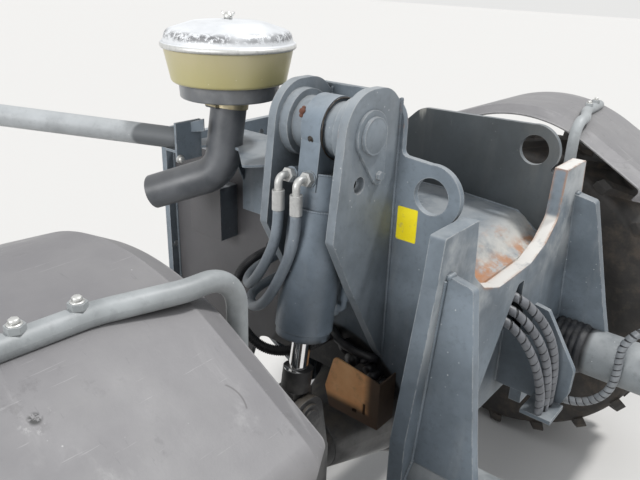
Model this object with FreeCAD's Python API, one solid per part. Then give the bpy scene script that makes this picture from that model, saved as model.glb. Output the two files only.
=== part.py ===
import FreeCAD, Part
import math
import os

# Front chassis section of a telehandler with its frame-levelling ram, oscillating steered axle,
# wheels and mudguards, and the engine intake beside it.
# Millimetres. X forward, Y to the machine's left, Z up.
# The numbers below are measured from the lifting hole (x = 0) and from the ground (z = 0);
# save() moves everything so that the origin sits on the rear mounting face.

os.makedirs("parts", exist_ok=True)
V = FreeCAD.Vector

# Driving dimensions
MOUNT_X = -850.0
MOUNT_Z = 900.0

PLATE_OUT = 272.5
PLATE_T = 15.0
PLATE_IN = PLATE_OUT - PLATE_T
PLATE_TOP = 1290.0
PLATE_LOW = 620.0
PLATE_ARCH = 800.0
HOLE_Z = 1324.0
HOLE_R = 40.0
LOBE_R = 68.0

FRONT_X = 101.0
FRONT_T = 35.0
FRONT_BACK = FRONT_X - FRONT_T
FRONT_LOW = 600.0
FRONT_TOP = 1292.0
PANEL_X = 24.0
PANEL_T = 12.0
PANEL_TOP = 835.0
GUSSET_LOW = 789.0
CLAMP_Z = 662.0

RAM_X = -188.0
EAR_T = 20.0
EAR_GAP = 159.0
EAR_FRONT_X = RAM_X + EAR_GAP / 2 + EAR_T
EAR_REAR_X = RAM_X - EAR_GAP / 2 - EAR_T
PIN_Y = -374.6
PIN_Z = 1455.0
PIN_R = 37.5
EYE_W = 50.0
EYE_R = 66.0
EAR_TOP = 1543.0
LOWER_Y = -480.0
LOWER_Z = 815.0
LOWER_PIN_R = 22.0
OPEN_PIVOT = 8.5
BARREL_R = 64.0
ROD_R = 22.0
BARREL_END = 457.0
STROKE = 72.0

AXLE_X = -250.0
AXLE_Z = 600.0
TRACK_Y = 1007.0
KING_Y = 815.0
KING_R = 25.0
TRUNNION_R = 50.0
HANGER_NEAR = 205.0
HANGER_T = 25.0
STEER_X = AXLE_X - 165.0
STEER_Z = 505.0
STEER_PIN_Y = 775.0
TYRE_R = 600.0
TYRE_W = 400.0
RIM_R = 305.0
DISC_Y = 1027.0
HUB_PILOT_R = 115.0
FIT = 0.05
GAP = 0.3

LUGS = 20
RAD = math.radians

# where the levelling ram's two hoses pass through the right side plate, and the holes for them
HOSE_HOLES = [(-404.0, 1080.0), (-394.0, 1025.0)]
HOSE_HOLE_R = 20.0


# Helpers
def rounded(points):
    """Edges of a closed outline of (a, b) or (a, b, corner radius), as 2-D lines and arcs."""
    n = len(points)
    corners = []
    for i in range(n):
        p = V(points[i][0], points[i][1], 0)
        r = points[i][2] if len(points[i]) > 2 else 0.0
        a = V(points[i - 1][0], points[i - 1][1], 0)
        b = V(points[(i + 1) % n][0], points[(i + 1) % n][1], 0)
        u = (a - p).normalize()
        w = (b - p).normalize()
        if r <= 0:
            corners.append((p, p, None))
            continue
        half = u.getAngle(w) / 2
        t = r / math.tan(half)
        mid = (u + w).normalize()
        centre = p + mid * (r / math.sin(half))
        corners.append((p + u * t, p + w * t, centre - mid * r))
    edges = []
    for i in range(n):
        start, end, middle = corners[i]
        if middle is not None:
            edges.append(("arc", start, middle, end))
        following = corners[(i + 1) % n][0]
        if (following - end).Length > 1e-6:
            edges.append(("line", end, following))
    return edges


def wire(points, place):
    made = []
    for e in rounded(points):
        if e[0] == "line":
            made.append(Part.makeLine(place(e[1].x, e[1].y), place(e[2].x, e[2].y)))
        else:
            three = [place(q.x, q.y) for q in e[1:]]
            made.append(Part.Arc(*three).toShape())
    return Part.Wire(made)


def plate_xz(points, y0, y1):
    face = Part.Face(wire(points, lambda a, b: V(a, y0, b)))
    return face.extrude(V(0, y1 - y0, 0))


def plate_yz(points, x0, x1):
    face = Part.Face(wire(points, lambda a, b: V(x0, a, b)))
    return face.extrude(V(x1 - x0, 0, 0))


def plate_xy(points, z0, z1):
    face = Part.Face(wire(points, lambda a, b: V(a, b, z0)))
    return face.extrude(V(0, 0, z1 - z0))


def box(x0, x1, y0, y1, z0, z1):
    low = V(min(x0, x1), min(y0, y1), min(z0, z1))
    return Part.makeBox(abs(x1 - x0), abs(y1 - y0), abs(z1 - z0), low)


def rod(start, end, radius):
    a = V(*start)
    b = V(*end)
    return Part.makeCylinder(radius, (b - a).Length, a, b - a)


def turned(profile, origin, axis):
    """Solid of revolution of (radius, height) points about axis through origin."""
    face = Part.Face(wire(profile, lambda a, b: V(a, 0, b)))
    solid = face.revolve(V(0, 0, 0), V(0, 0, 1), 360)
    turn = FreeCAD.Rotation(V(0, 0, 1), V(*axis))
    solid.Placement = FreeCAD.Placement(V(*origin), turn)
    return solid


def path(points, bends):
    """Straight runs joined by tangent arcs."""
    pts = [V(*p) for p in points]
    if not isinstance(bends, (list, tuple)):
        bends = [bends] * (len(pts) - 2)
    edges = []
    last = pts[0]
    for i in range(1, len(pts) - 1):
        u = (pts[i - 1] - pts[i]).normalize()
        w = (pts[i + 1] - pts[i]).normalize()
        half = u.getAngle(w) / 2
        t = bends[i - 1] / math.tan(half)
        mid = (u + w).normalize()
        centre = pts[i] + mid * (bends[i - 1] / math.sin(half))
        start = pts[i] + u * t
        end = pts[i] + w * t
        if (start - last).Length > 1e-4:
            edges.append(Part.makeLine(last, start))
        edges.append(Part.Arc(start, centre - mid * bends[i - 1], end).toShape())
        last = end
    edges.append(Part.makeLine(last, pts[-1]))
    return Part.Wire(edges)


def pipe(points, radius, bends, hollow=0.0):
    line = path(points, bends)
    start = V(*points[0])
    along = V(*points[1]) - start
    ring = Part.Wire([Part.makeCircle(radius, start, along)])
    solid = line.makePipeShell([ring], True, False)
    if hollow > 0:
        inner = Part.Wire([Part.makeCircle(hollow, start, along)])
        solid = solid.cut(line.makePipeShell([inner], True, False))
    return solid


def hull(a, ra, b, rb, x0, x1):
    """Plate in the YZ plane round two circles at (y, z)."""
    pa = V(a[0], a[1], 0)
    pb = V(b[0], b[1], 0)
    d = pb - pa
    base = math.atan2(d.y, d.x)
    spread = math.acos((ra - rb) / d.Length)
    def at(c, r, angle):
        return V(x0, c.x + r * math.cos(angle), c.y + r * math.sin(angle))
    up = base + spread
    down = base - spread
    edges = [
        Part.makeLine(at(pa, ra, up), at(pb, rb, up)),
        Part.Arc(at(pb, rb, up), at(pb, rb, base), at(pb, rb, down)).toShape(),
        Part.makeLine(at(pb, rb, down), at(pa, ra, down)),
        Part.Arc(at(pa, ra, down), at(pa, ra, base + math.pi), at(pa, ra, up)).toShape(),
    ]
    return Part.Face(Part.Wire(edges)).extrude(V(x1 - x0, 0, 0))


def hexagon(centre, axis, flats, height):
    """Hexagon head standing on centre along axis."""
    r = flats / math.sqrt(3)
    ring = [V(r * math.cos(RAD(60 * k)), r * math.sin(RAD(60 * k)), 0) for k in range(7)]
    solid = Part.Face(Part.makePolygon(ring)).extrude(V(0, 0, height))
    solid.Placement = FreeCAD.Placement(V(*centre), FreeCAD.Rotation(V(0, 0, 1), V(*axis)))
    return solid


def mirrored(shape):
    return shape.mirror(V(0, 0, 0), V(0, 1, 0))


def fused(*shapes):
    return shapes[0].multiFuse(list(shapes[1:])).removeSplitter()


def save(name, *shapes):
    shape = shapes[0] if len(shapes) == 1 else Part.makeCompound(list(shapes))
    shape = shape.copy()
    shape.translate(V(-MOUNT_X, 0, -MOUNT_Z))
    shape.exportStep("parts/" + name + ".step")


# Frame
def side_plate(tall, y0, y1):
    low = [
        (MOUNT_X + 20, PLATE_TOP),
        (MOUNT_X + 20, PLATE_LOW),
        (-560, PLATE_LOW, 40),
        (-505, PLATE_ARCH, 60),
        (FRONT_BACK, PLATE_ARCH),
        (FRONT_BACK, 1262),
        (50, 1282),
        (0, 1340),
    ]
    if tall:
        top = [(0, 1391), (-78, 1397, 14), (-78, 1522, 62), (-340, 1522, 30), (-352, PLATE_TOP, 25)]
    else:
        top = [(0, 1391), (-352, 1384, 60), (-452, PLATE_TOP, 40)]
    body = plate_xz(low + top, y0, y1)
    lobe = rod((0, y0, HOLE_Z), (0, y1, HOLE_Z), LOBE_R)
    hole = rod((0, y0 - 1, HOLE_Z), (0, y1 + 1, HOLE_Z), HOLE_R)
    return fused(body, lobe).cut(hole)


right = side_plate(True, -PLATE_OUT, -PLATE_IN)
for x, z in HOSE_HOLES:
    right = right.cut(rod((x, -PLATE_OUT - 1, z), (x, -PLATE_IN + 1, z), HOSE_HOLE_R))
save("side_plate_right", right)
save("side_plate_left", side_plate(False, PLATE_IN, PLATE_OUT))

# front plate with the boom's rest cut into it and the hoses' notch below
half = [
    (89, 1083, 40),
    (173, 1112, 40),
    (234, 1162, 30),
    (246, FRONT_TOP),
    (381, FRONT_TOP, 6),
    (395, 1191, 30),
    (462, 861, 30),
    (462, 700),
    (430, FRONT_LOW, 40),
]
outer = half + [(-a[0],) + a[1:] for a in reversed(half)]
front = plate_yz(outer, FRONT_BACK, FRONT_X)
notch = [
    (30, 1046, 6),
    (-142, 783),
    (-142, FRONT_LOW - 1),
    (192.3, FRONT_LOW - 1),
    (192.3, 896, 10),
    (125, 948, 20),
    (64, 1000, 6),
    (64, 1046, 6),
]
front = front.cut(plate_yz(notch, FRONT_BACK - 1, FRONT_X + 1))
SIDE_PORT = (FRONT_X, 262.0, 622.0)
side_port = rod(SIDE_PORT, (FRONT_X + 14, SIDE_PORT[1], SIDE_PORT[2]), 17)
save("front_plate", fused(front, side_port))

# floor between the side plates, folded down to the boom's rest, and the panel behind the window
floor_line = [
    (MOUNT_X + 20, 1160),
    (-189, 1160, 60),
    (-9, 1148, 60),
    (40, 1103, 20),
    (FRONT_BACK, 1090),
    (FRONT_BACK, 1082),
    (34, 1096, 20),
    (-12, 1140, 60),
    (-189, 1152, 60),
    (MOUNT_X + 20, 1152),
]
save("trough_floor", plate_xz(floor_line, -PLATE_IN, PLATE_IN))

# channel behind the front plate, with the tab that the front hoses start from
HANGER_FACE = AXLE_X + HANGER_NEAR + HANGER_T
panel = box(PANEL_X - PANEL_T, PANEL_X, -PLATE_IN, PLATE_IN, FRONT_LOW, PANEL_TOP)
flanges = [box(HANGER_FACE, PANEL_X, -PLATE_IN, PLATE_IN, z, z + PANEL_T) for z in (700, PANEL_TOP - PANEL_T)]
tab = box(PANEL_X - PANEL_T, PANEL_X, -110, 85, PANEL_TOP, 1040)
save("front_crossmember", fused(panel, tab, *flanges))

# gussets before the front plate: a leaning pair outside, and a lengthwise one in the notch on the
# left with the clamp that the front hoses run down to
def gusset(side):
    shape = plate_xz(
        [(FRONT_X, 1208), (160, 1196, 12), (222, 884), (243, GUSSET_LOW + 1), (230, GUSSET_LOW),
         (FRONT_X, GUSSET_LOW)],
        -12.5, 12.5)
    lean = math.degrees(math.atan2(53.0, 352.0))
    shape.rotate(V(0, 0, 1180), V(1, 0, 0), lean)
    shape.translate(V(0, 352, 0))
    shape = shape.common(box(FRONT_X, 260, 250, 470, GUSSET_LOW - 8, 1300))
    return shape if side > 0 else mirrored(shape)


inner = plate_xz(
    [(PANEL_X, CLAMP_Z - 12), (PANEL_X, PANEL_TOP), (FRONT_X, PANEL_TOP), (FRONT_X, 932), (140, 925, 8),
     (234, 776, 25), (232, 700, 30), (210, CLAMP_Z - 12)],
    176, 192)
clamp = box(140, 225, 84, 176, CLAMP_Z - 12, CLAMP_Z)

# pivot tubes for the front stabilisers
TUBE_Y = 385.0
TUBE_Z = 735.0
TUBE_R = 70.0
PIVOT_R = 40.0
def stabiliser_tube(side):
    outer_tube = rod((FRONT_X, side * TUBE_Y, TUBE_Z), (430, side * TUBE_Y, TUBE_Z), TUBE_R)
    bore = rod((211, side * TUBE_Y, TUBE_Z), (440, side * TUBE_Y, TUBE_Z), PIVOT_R)
    collar = rod((408, side * TUBE_Y, TUBE_Z), (430, side * TUBE_Y, TUBE_Z), TUBE_R + 5)
    port = rod((404, side * TUBE_Y, TUBE_Z + TUBE_R - 4), (404, side * TUBE_Y, TUBE_Z + TUBE_R + 14), 16)
    return fused(outer_tube, collar, port).cut(bore)


tubes = [stabiliser_tube(1), stabiliser_tube(-1)]
gussets = [gusset(1), gusset(-1), fused(inner, clamp)]
clear = [g.cut(tubes[0].fuse(tubes[1])) for g in gussets]
save("gussets", *clear)
save("stabiliser_tubes", *tubes)

bulkhead = box(MOUNT_X, MOUNT_X + 20, -300, 300, PLATE_LOW - 20, PLATE_TOP + 10)
for y in (-240, -80, 80, 240):
    for z in (660, 1255):
        bulkhead = bulkhead.cut(rod((MOUNT_X - 1, y, z), (MOUNT_X + 21, y, z), 11))
for z in (820, 980, 1120):
    for y in (-285, 285):
        bulkhead = bulkhead.cut(rod((MOUNT_X - 1, y, z), (MOUNT_X + 21, y, z), 9))
save("rear_bulkhead", bulkhead)

# hangers that carry the axle's trunnions
def hanger(x0):
    plate = plate_yz(
        [(-PLATE_IN, 900), (-PLATE_IN, 790), (-92, 560, 60), (92, 560, 60), (PLATE_IN, 790), (PLATE_IN, 900)],
        x0, x0 + HANGER_T)
    ring = rod((x0 - 8, 0, AXLE_Z), (x0 + HANGER_T + 8, 0, AXLE_Z), TRUNNION_R + 27)
    hole = rod((x0 - 9, 0, AXLE_Z), (x0 + HANGER_T + 9, 0, AXLE_Z), TRUNNION_R + FIT)
    return fused(plate, ring).cut(hole)


save("axle_hangers", hanger(AXLE_X + HANGER_NEAR), hanger(AXLE_X - HANGER_NEAR - HANGER_T))

# ears that carry the levelling ram, each with a boss towards the ram's eye
def ear(x0, inner):
    shape = plate_yz(
        [(-PLATE_OUT, 1506), (-313, EAR_TOP, 75), (-446, EAR_TOP, 85), (-481, 1254, 10),
         (-417, 1135, 20), (-300, 937, 20), (-PLATE_OUT, 897)],
        x0, x0 + EAR_T)
    eye_face = RAM_X + (EYE_W / 2 + GAP) * (1 if inner < 0 else -1)
    start = x0 if inner < 0 else x0 + EAR_T
    boss = rod((start, PIN_Y, PIN_Z), (eye_face, PIN_Y, PIN_Z), 56)
    step = rod((start, PIN_Y, PIN_Z), (start + inner * 22, PIN_Y, PIN_Z), 70)
    shape = fused(shape, boss, step)
    return shape.cut(rod((x0 - 60, PIN_Y, PIN_Z), (x0 + 80, PIN_Y, PIN_Z), PIN_R + FIT))


front_ear = ear(EAR_FRONT_X - EAR_T, -1)
front_ear = front_ear.cut(rod((EAR_FRONT_X - 25, -405, 1359), (EAR_FRONT_X + 5, -405, 1359), 17.5))
save("level_ear_front", front_ear)
save("level_ear_rear", ear(EAR_REAR_X, 1))

pin = rod((EAR_REAR_X - 12, PIN_Y, PIN_Z), (EAR_FRONT_X + 14, PIN_Y, PIN_Z), PIN_R)
keeper = hull((PIN_Y, PIN_Z), 50, (-348, 1369), 19, EAR_FRONT_X, EAR_FRONT_X + 6)
head = hexagon((EAR_FRONT_X + 6, -348, 1369), (1, 0, 0), 17, 8)
save("level_pin", fused(pin, keeper, head))

# Levelling ram
LEAN = V(0, LOWER_Y - PIN_Y, LOWER_Z - PIN_Z)
RAM_LENGTH = LEAN.Length
DOWN = LEAN * (1.0 / RAM_LENGTH)
SIDE = V(0, DOWN.z, -DOWN.y)


def on_ram(distance, sideways=0.0, x=0.0):
    p = V(RAM_X + x, PIN_Y, PIN_Z) + DOWN * distance + SIDE * sideways
    return (p.x, p.y, p.z)


def ring_on_ram(a, b, radius):
    return rod(on_ram(a), on_ram(b), radius)


eye = rod((RAM_X - EYE_W / 2, PIN_Y, PIN_Z), (RAM_X + EYE_W / 2, PIN_Y, PIN_Z), EYE_R)
def in_ram(points, x0, x1):
    """Plate across the ram's plane from (sideways, distance) points."""
    def place(a, b):
        q = on_ram(b, a)
        return V(RAM_X + x0, q[1], q[2])
    return Part.Face(wire(points, place)).extrude(V(x1 - x0, 0, 0))


neck = in_ram([(-EYE_R + 6, 10), (EYE_R - 6, 10), (56, 128), (-56, 128)], -EYE_W / 2, EYE_W / 2)
cap = ring_on_ram(92, 168, BARREL_R - 6)
tube = ring_on_ram(168, BARREL_END - 18, BARREL_R)
gland = ring_on_ram(BARREL_END - 18, BARREL_END, BARREL_R - 3)
throat = ring_on_ram(BARREL_END - 40, BARREL_END + 5, ROD_R + FIT)
inside = ring_on_ram(200, BARREL_END - 40, BARREL_R - 12)
PORTS = (-40.0, 8.0)
bosses = [rod(on_ram(104, 30, dx), on_ram(104, 60, dx), 17) for dx in PORTS]


def beside_ram(out, distance):
    """Point that far out from the ram's axis, forward and towards the chassis."""
    return on_ram(distance, -0.626 * out, 0.78 * out)


LOW_PORT = 390.0
PIPE_OUT = 80.0
low_boss = rod(beside_ram(54, LOW_PORT), beside_ram(66, LOW_PORT), 17)
barrel = fused(eye, neck, cap, tube, gland, low_boss, *bosses).cut(inside).cut(throat)
barrel = barrel.cut(rod((RAM_X - 40, PIN_Y, PIN_Z), (RAM_X + 40, PIN_Y, PIN_Z), PIN_R + FIT))
save("level_barrel", barrel)

# two right-angle hose ends on the cap, and the pipe from the cap to the barrel's low port
fittings = []
FITTING_ENDS = []
for dx in PORTS:
    root = V(*on_ram(104, 60, dx))
    tip = V(*on_ram(104, 98, dx))
    nut = hexagon(tuple(root), tuple(tip - root), 27, 13)
    bent = pipe([tuple(root), tuple(tip), (tip.x, tip.y, 1337)], 8, 14)
    sleeve = rod((tip.x, tip.y, 1338), (tip.x, tip.y, 1296), 13)
    fittings.append(fused(bent, nut, sleeve))
    FITTING_ENDS.append((tip.x, tip.y, 1295.7))
low_root = V(*beside_ram(66.3, LOW_PORT))
low_tip = V(*beside_ram(PIPE_OUT, LOW_PORT))
fittings.append(fused(
    pipe([tuple(low_root), tuple(low_tip), beside_ram(PIPE_OUT, 140), beside_ram(58.3, 140)], 8, 12),
    hexagon(tuple(low_root), tuple(low_tip - low_root), 24, 5),
    rod(beside_ram(PIPE_OUT, 368), beside_ram(PIPE_OUT, 332), 11)))
save("level_fittings", *fittings)

piston = ring_on_ram(300, 320, BARREL_R - 12.3)
stick = ring_on_ram(319, RAM_LENGTH - 36, ROD_R)
clevis = rod((RAM_X - 23, LOWER_Y, LOWER_Z), (RAM_X + 23, LOWER_Y, LOWER_Z), 46)
shank = ring_on_ram(BARREL_END + STROKE + 11, RAM_LENGTH - 56, 34)
web = in_ram([(-34, RAM_LENGTH - 57), (34, RAM_LENGTH - 57), (34, RAM_LENGTH - 20), (-34, RAM_LENGTH - 20)], -23, 23)
level_rod = fused(piston, stick, shank, web, clevis)
level_rod = level_rod.cut(
    rod((RAM_X - 30, LOWER_Y, LOWER_Z), (RAM_X + 30, LOWER_Y, LOWER_Z), LOWER_PIN_R + OPEN_PIVOT))
save("level_rod", level_rod)

# Intake
INTAKE_X = -471.0
INTAKE_Y = -388.0
NECK_R = 41.0
SHELF_Z = 1365.0
elbow_route = [(INTAKE_X + 0.5, INTAKE_Y + 1.2, 1487.3), (-480, -412, 1305), (-634, -493, 1239)]
neck_top = V(*elbow_route[0])
neck_dir = (V(*elbow_route[1]) - neck_top).normalize()
shelf = plate_xy(
    [(EAR_REAR_X, -PLATE_OUT), (EAR_REAR_X, -453), (-323, -496, 8), (-424, -410), (-476.7, -403.3), (-502, -452),
     (-502, -521), (-548, -521, 10), (-548, -PLATE_OUT)],
    SHELF_Z, SHELF_Z + 6)
shelf = shelf.cut(rod(tuple(neck_top + neck_dir * 70), tuple(neck_top + neck_dir * 160), NECK_R + GAP))
leg = box(-548, -440, -PLATE_OUT - 6, -PLATE_OUT, 1160, SHELF_Z)
rib = plate_yz([(-PLATE_OUT - 6, SHELF_Z), (-PLATE_OUT - 6, 1240), (-340, SHELF_Z)], -548, -542)
pad = box(-508, -502, -521, -450, 1345, 1432)
ARM_A = V(-500, -473, 1387)
ARM_B = V(-848.5, -755, 1432)
ARM_R = 24.0
arm_dir = (ARM_B - ARM_A).normalize()
fin = plate_xz([(-24, 1409), (-24, 1436), (66, 1414), (66, 1400)], -3, 3)
fin.rotate(V(0, 0, 0), V(0, 0, 1), math.degrees(math.atan2(arm_dir.y, arm_dir.x)))
fin.translate(V(ARM_A.x, ARM_A.y, 0))
intake_bracket = fused(shelf, leg, rib, pad, fin)
save("intake_bracket", intake_bracket)
save("side_box", box(-695, -576, -PLATE_OUT - 60, -PLATE_OUT, 1075, 1220))

arm = rod(tuple(ARM_A - arm_dir * 30), tuple(ARM_B), ARM_R)
arm = arm.common(box(-1000, -508, -1000, 0, 1300, 1500)).cut(intake_bracket)
save("arm_tube", max(arm.Solids, key=lambda piece: piece.Volume))

elbow = pipe(elbow_route, NECK_R, 75, NECK_R - 6).common(box(-900, 0, -900, 0, 1000, 1479))
band = rod(tuple(neck_top + neck_dir * 16), tuple(neck_top + neck_dir * 32), NECK_R + 3)
band = band.cut(rod(tuple(neck_top), tuple(neck_top + neck_dir * 40), NECK_R - 0.5))
screw = rod((INTAKE_X - 22, INTAKE_Y - 49, 1464), (INTAKE_X + 12, INTAKE_Y - 49, 1464), 6)
save("intake_elbow", fused(elbow, band, screw))

bowl = turned(
    [(30, 1479.3), (110, 1479.3, 4), (112, 1513), (127, 1513, 8), (143, 1590), (139, 1590), (124, 1517),
     (30, 1517)],
    (INTAKE_X, INTAKE_Y, 0), (0, 0, 1))
save("precleaner_bowl", bowl)
dome = turned(
    [(0, 1590.3), (147, 1590.3), (147, 1598), (142, 1600, 3), (136, 1622, 18), (80, 1640, 60), (0, 1645)],
    (INTAKE_X, INTAKE_Y, 0), (0, 0, 1))
stub = rod((INTAKE_X, INTAKE_Y, 1643), (INTAKE_X, INTAKE_Y, 1655), 9)
save("precleaner_dome", fused(dome, stub))

# Axle
def king_fork(side):
    y0 = side * 690
    y1 = side * KING_Y
    parts = []
    for z0, z1 in ((AXLE_Z + 116, AXLE_Z + 144), (AXLE_Z - 144, AXLE_Z - 116)):
        arm_plate = plate_xy([(AXLE_X - 62, y0), (AXLE_X + 62, y0), (AXLE_X + 62, y1), (AXLE_X - 62, y1)], z0, z1)
        parts.append(arm_plate)
        parts.append(rod((AXLE_X, y1, z0), (AXLE_X, y1, z1), 62))
    parts.append(box(AXLE_X - 62, AXLE_X + 62, side * 668, side * 694, AXLE_Z - 144, AXLE_Z + 144))
    parts.append(rod((AXLE_X, y1, AXLE_Z + 80), (AXLE_X, y1, AXLE_Z + 156), KING_R))
    parts.append(rod((AXLE_X, y1, AXLE_Z - 156), (AXLE_X, y1, AXLE_Z - 80), KING_R))
    return parts


tube_axle = rod((AXLE_X, -680, AXLE_Z), (AXLE_X, 680, AXLE_Z), 80)
cone_r = turned([(0, 0), (150, 0), (82, 210), (0, 210)], (AXLE_X, -120, AXLE_Z), (0, -1, 0))
cone_l = turned([(0, 0), (150, 0), (82, 210), (0, 210)], (AXLE_X, 120, AXLE_Z), (0, 1, 0))
belly = turned(
    [(0, -135), (110, -135, 15), (172, -95, 30), (172, 95, 30), (110, 135, 15), (0, 135)],
    (AXLE_X, 0, AXLE_Z), (1, 0, 0))
middle = rod((AXLE_X, -125, AXLE_Z), (AXLE_X, 125, AXLE_Z), 150)
trunnion = rod((AXLE_X - 240, 0, AXLE_Z), (AXLE_X + 240, 0, AXLE_Z), TRUNNION_R)
pinion = rod((AXLE_X - 262, 0, AXLE_Z), (AXLE_X - 239, 0, AXLE_Z), 46)
saddle = box(AXLE_X - 30, RAM_X + 46, -560, -400, AXLE_Z - 30, AXLE_Z + 96)
def lug(x0, x1):
    return plate_yz(
        [(-560, AXLE_Z + 80), (LOWER_Y - 46, LOWER_Z + 46, 45.5), (LOWER_Y + 46, LOWER_Z + 46, 45.5), (-400, AXLE_Z + 80)],
        x0, x1)


lugs = [lug(RAM_X - 46, RAM_X - 26), lug(RAM_X + 26, RAM_X + 46)]
housing = fused(tube_axle, cone_r, cone_l, belly, middle, trunnion, pinion, saddle, *lugs,
                *king_fork(1), *king_fork(-1))
housing = housing.cut(rod((RAM_X - 60, LOWER_Y, LOWER_Z), (RAM_X + 60, LOWER_Y, LOWER_Z), LOWER_PIN_R + FIT))
save("axle_housing", housing)

low_pin = rod((RAM_X - 52, LOWER_Y, LOWER_Z), (RAM_X + 58, LOWER_Y, LOWER_Z), LOWER_PIN_R)
low_disc = rod((RAM_X + 46.3, LOWER_Y, LOWER_Z), (RAM_X + 54, LOWER_Y, LOWER_Z), 34)
save("level_lower_pin", fused(low_pin, low_disc))

# bent guard in primer on the side plate, over the lines to the axle
guard_outer = plate_xz([(-205, 800), (-180, 893, 14), (-45, 873, 14), (-45, 748), (-190, 745, 14)], -339, -335)
guard_floor = box(-190, -45, -339, -PLATE_OUT, 745, 749)
guard_end = box(-49, -45, -339, -PLATE_OUT, 745, 873)
slots = [box(-90, -82, -345, -330, 770, 800), box(-120, -106, -345, -330, 764, 774)]
guard = fused(guard_outer, guard_floor, guard_end)
for slot in slots:
    guard = guard.cut(slot)
save("hose_guard", guard)

# steering ram across the axle's back, its links end under the steering arms
steer = rod((STEER_X, -190, STEER_Z), (STEER_X, 190, STEER_Z), 33)
steer = fused(
    steer,
    rod((STEER_X, -190, STEER_Z), (STEER_X, -160, STEER_Z), 33.9),
    rod((STEER_X, 160, STEER_Z), (STEER_X, 190, STEER_Z), 33.9),
    box(STEER_X + 4, AXLE_X - 60, -150, -118, STEER_Z - 28, STEER_Z + 20),
    box(STEER_X + 4, AXLE_X - 60, 118, 150, STEER_Z - 28, STEER_Z + 20))
steer = steer.cut(rod((STEER_X, -200, STEER_Z), (STEER_X, 200, STEER_Z), 18 + FIT)).cut(housing)
save("steering_barrel", steer)
STUD_Z = AXLE_Z - 82
steer_rod = [rod((STEER_X, -500, STEER_Z), (STEER_X, 500, STEER_Z), 18)]
for side in (1, -1):
    steer_rod.append(rod((STEER_X, side * 470, STEER_Z), (STEER_X, side * 505, STEER_Z), 27))
    steer_rod.append(rod((STEER_X, side * 500, STEER_Z), (STEER_X, side * (STEER_PIN_Y - 20), STEER_Z - 12), 15))
    steer_rod.append(rod((STEER_X, side * STEER_PIN_Y, STEER_Z - 34), (STEER_X, side * STEER_PIN_Y, STUD_Z - 12), 28))
    steer_rod.append(rod((STEER_X, side * STEER_PIN_Y, STUD_Z - 13), (STEER_X, side * STEER_PIN_Y, STUD_Z - 0.5), 17))
save("steering_rod", fused(*steer_rod))


# Knuckles, mudguards and wheels, left side
def knuckle():
    body = rod((AXLE_X, KING_Y, AXLE_Z - 112), (AXLE_X, KING_Y, AXLE_Z + 112), 76)
    spindle = rod((AXLE_X, KING_Y, AXLE_Z), (AXLE_X, DISC_Y - 24, AXLE_Z), 60)
    collar = rod((AXLE_X, KING_Y + 40, AXLE_Z), (AXLE_X, 899, AXLE_Z), 100)
    steer_arm = plate_xy(
        [(AXLE_X + 10, KING_Y - 40), (AXLE_X + 10, KING_Y + 30), (STEER_X - 34, STEER_PIN_Y + 34, 33),
         (STEER_X - 34, STEER_PIN_Y - 34, 33)],
        STUD_Z, STUD_Z + 26)
    stay = plate_xy(
        [(AXLE_X - 10, KING_Y - 50), (AXLE_X - 10, KING_Y + 20), (-48, 786, 15), (-48, 744, 15)],
        AXLE_Z + 10, AXLE_Z + 36)
    stem = box(-84, -48, 744, 786, AXLE_Z + 10, AXLE_Z + 130)
    whole = fused(body, spindle, collar, steer_arm, stay, stem)
    for z0, z1 in ((AXLE_Z + 78, AXLE_Z + 114), (AXLE_Z - 114, AXLE_Z - 78)):
        whole = whole.cut(rod((AXLE_X, KING_Y, z0), (AXLE_X, KING_Y, z1), KING_R + FIT))
    return whole


stay_line = [(-66, 765, AXLE_Z + 130.3), (-64, 762, 1306), (-70, 862, 1306), (-110, 990, 1306), (-118, 1150, 1306)]
mudguard_tube = pipe(stay_line, 18, [62, 120, 200])
for x, y in ((-111, 1010), (-115, 1095)):
    mudguard_tube = mudguard_tube.fuse(hexagon((x, y, 1322), (0, 0, 1), 24, 10))


def guard_section(y_in, y_bevel, y_out, drop, thick):
    """Flat sheet with a bevelled inner edge and a small lip outside, across the mudguard's line."""
    start = V(-800, 0, 1150)
    along = V(570, 0, 211).normalize()
    up = V(-along.z, 0, along.x)
    pts = [(y_in, -drop), (y_bevel, 0), (y_out - 14, 0), (y_out, -16), (y_out - 4, -18),
           (y_out - 16, -thick), (y_bevel + 2, -thick), (y_in + 3, -drop - thick)]
    ring = [start + V(0, y, 0) + up * n for y, n in pts]
    return Part.makePolygon(ring + [ring[0]])


guard_line = path([(-800, 0, 1150), (-230, 0, 1379), (203, 0, 1125), (166, 0, 1064)], [505, 45])
mudguard = guard_line.makePipeShell([guard_section(803, 851, 1215, 26, 5)], True, False)
trim = plate_xy([(-810, 790, 340), (230, 790), (230, 1220), (-810, 1220)], 1000, 1500)
mudguard = mudguard.common(trim)
mudguard_tube = max(mudguard_tube.cut(mudguard).Solids, key=lambda piece: piece.Volume)

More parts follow.
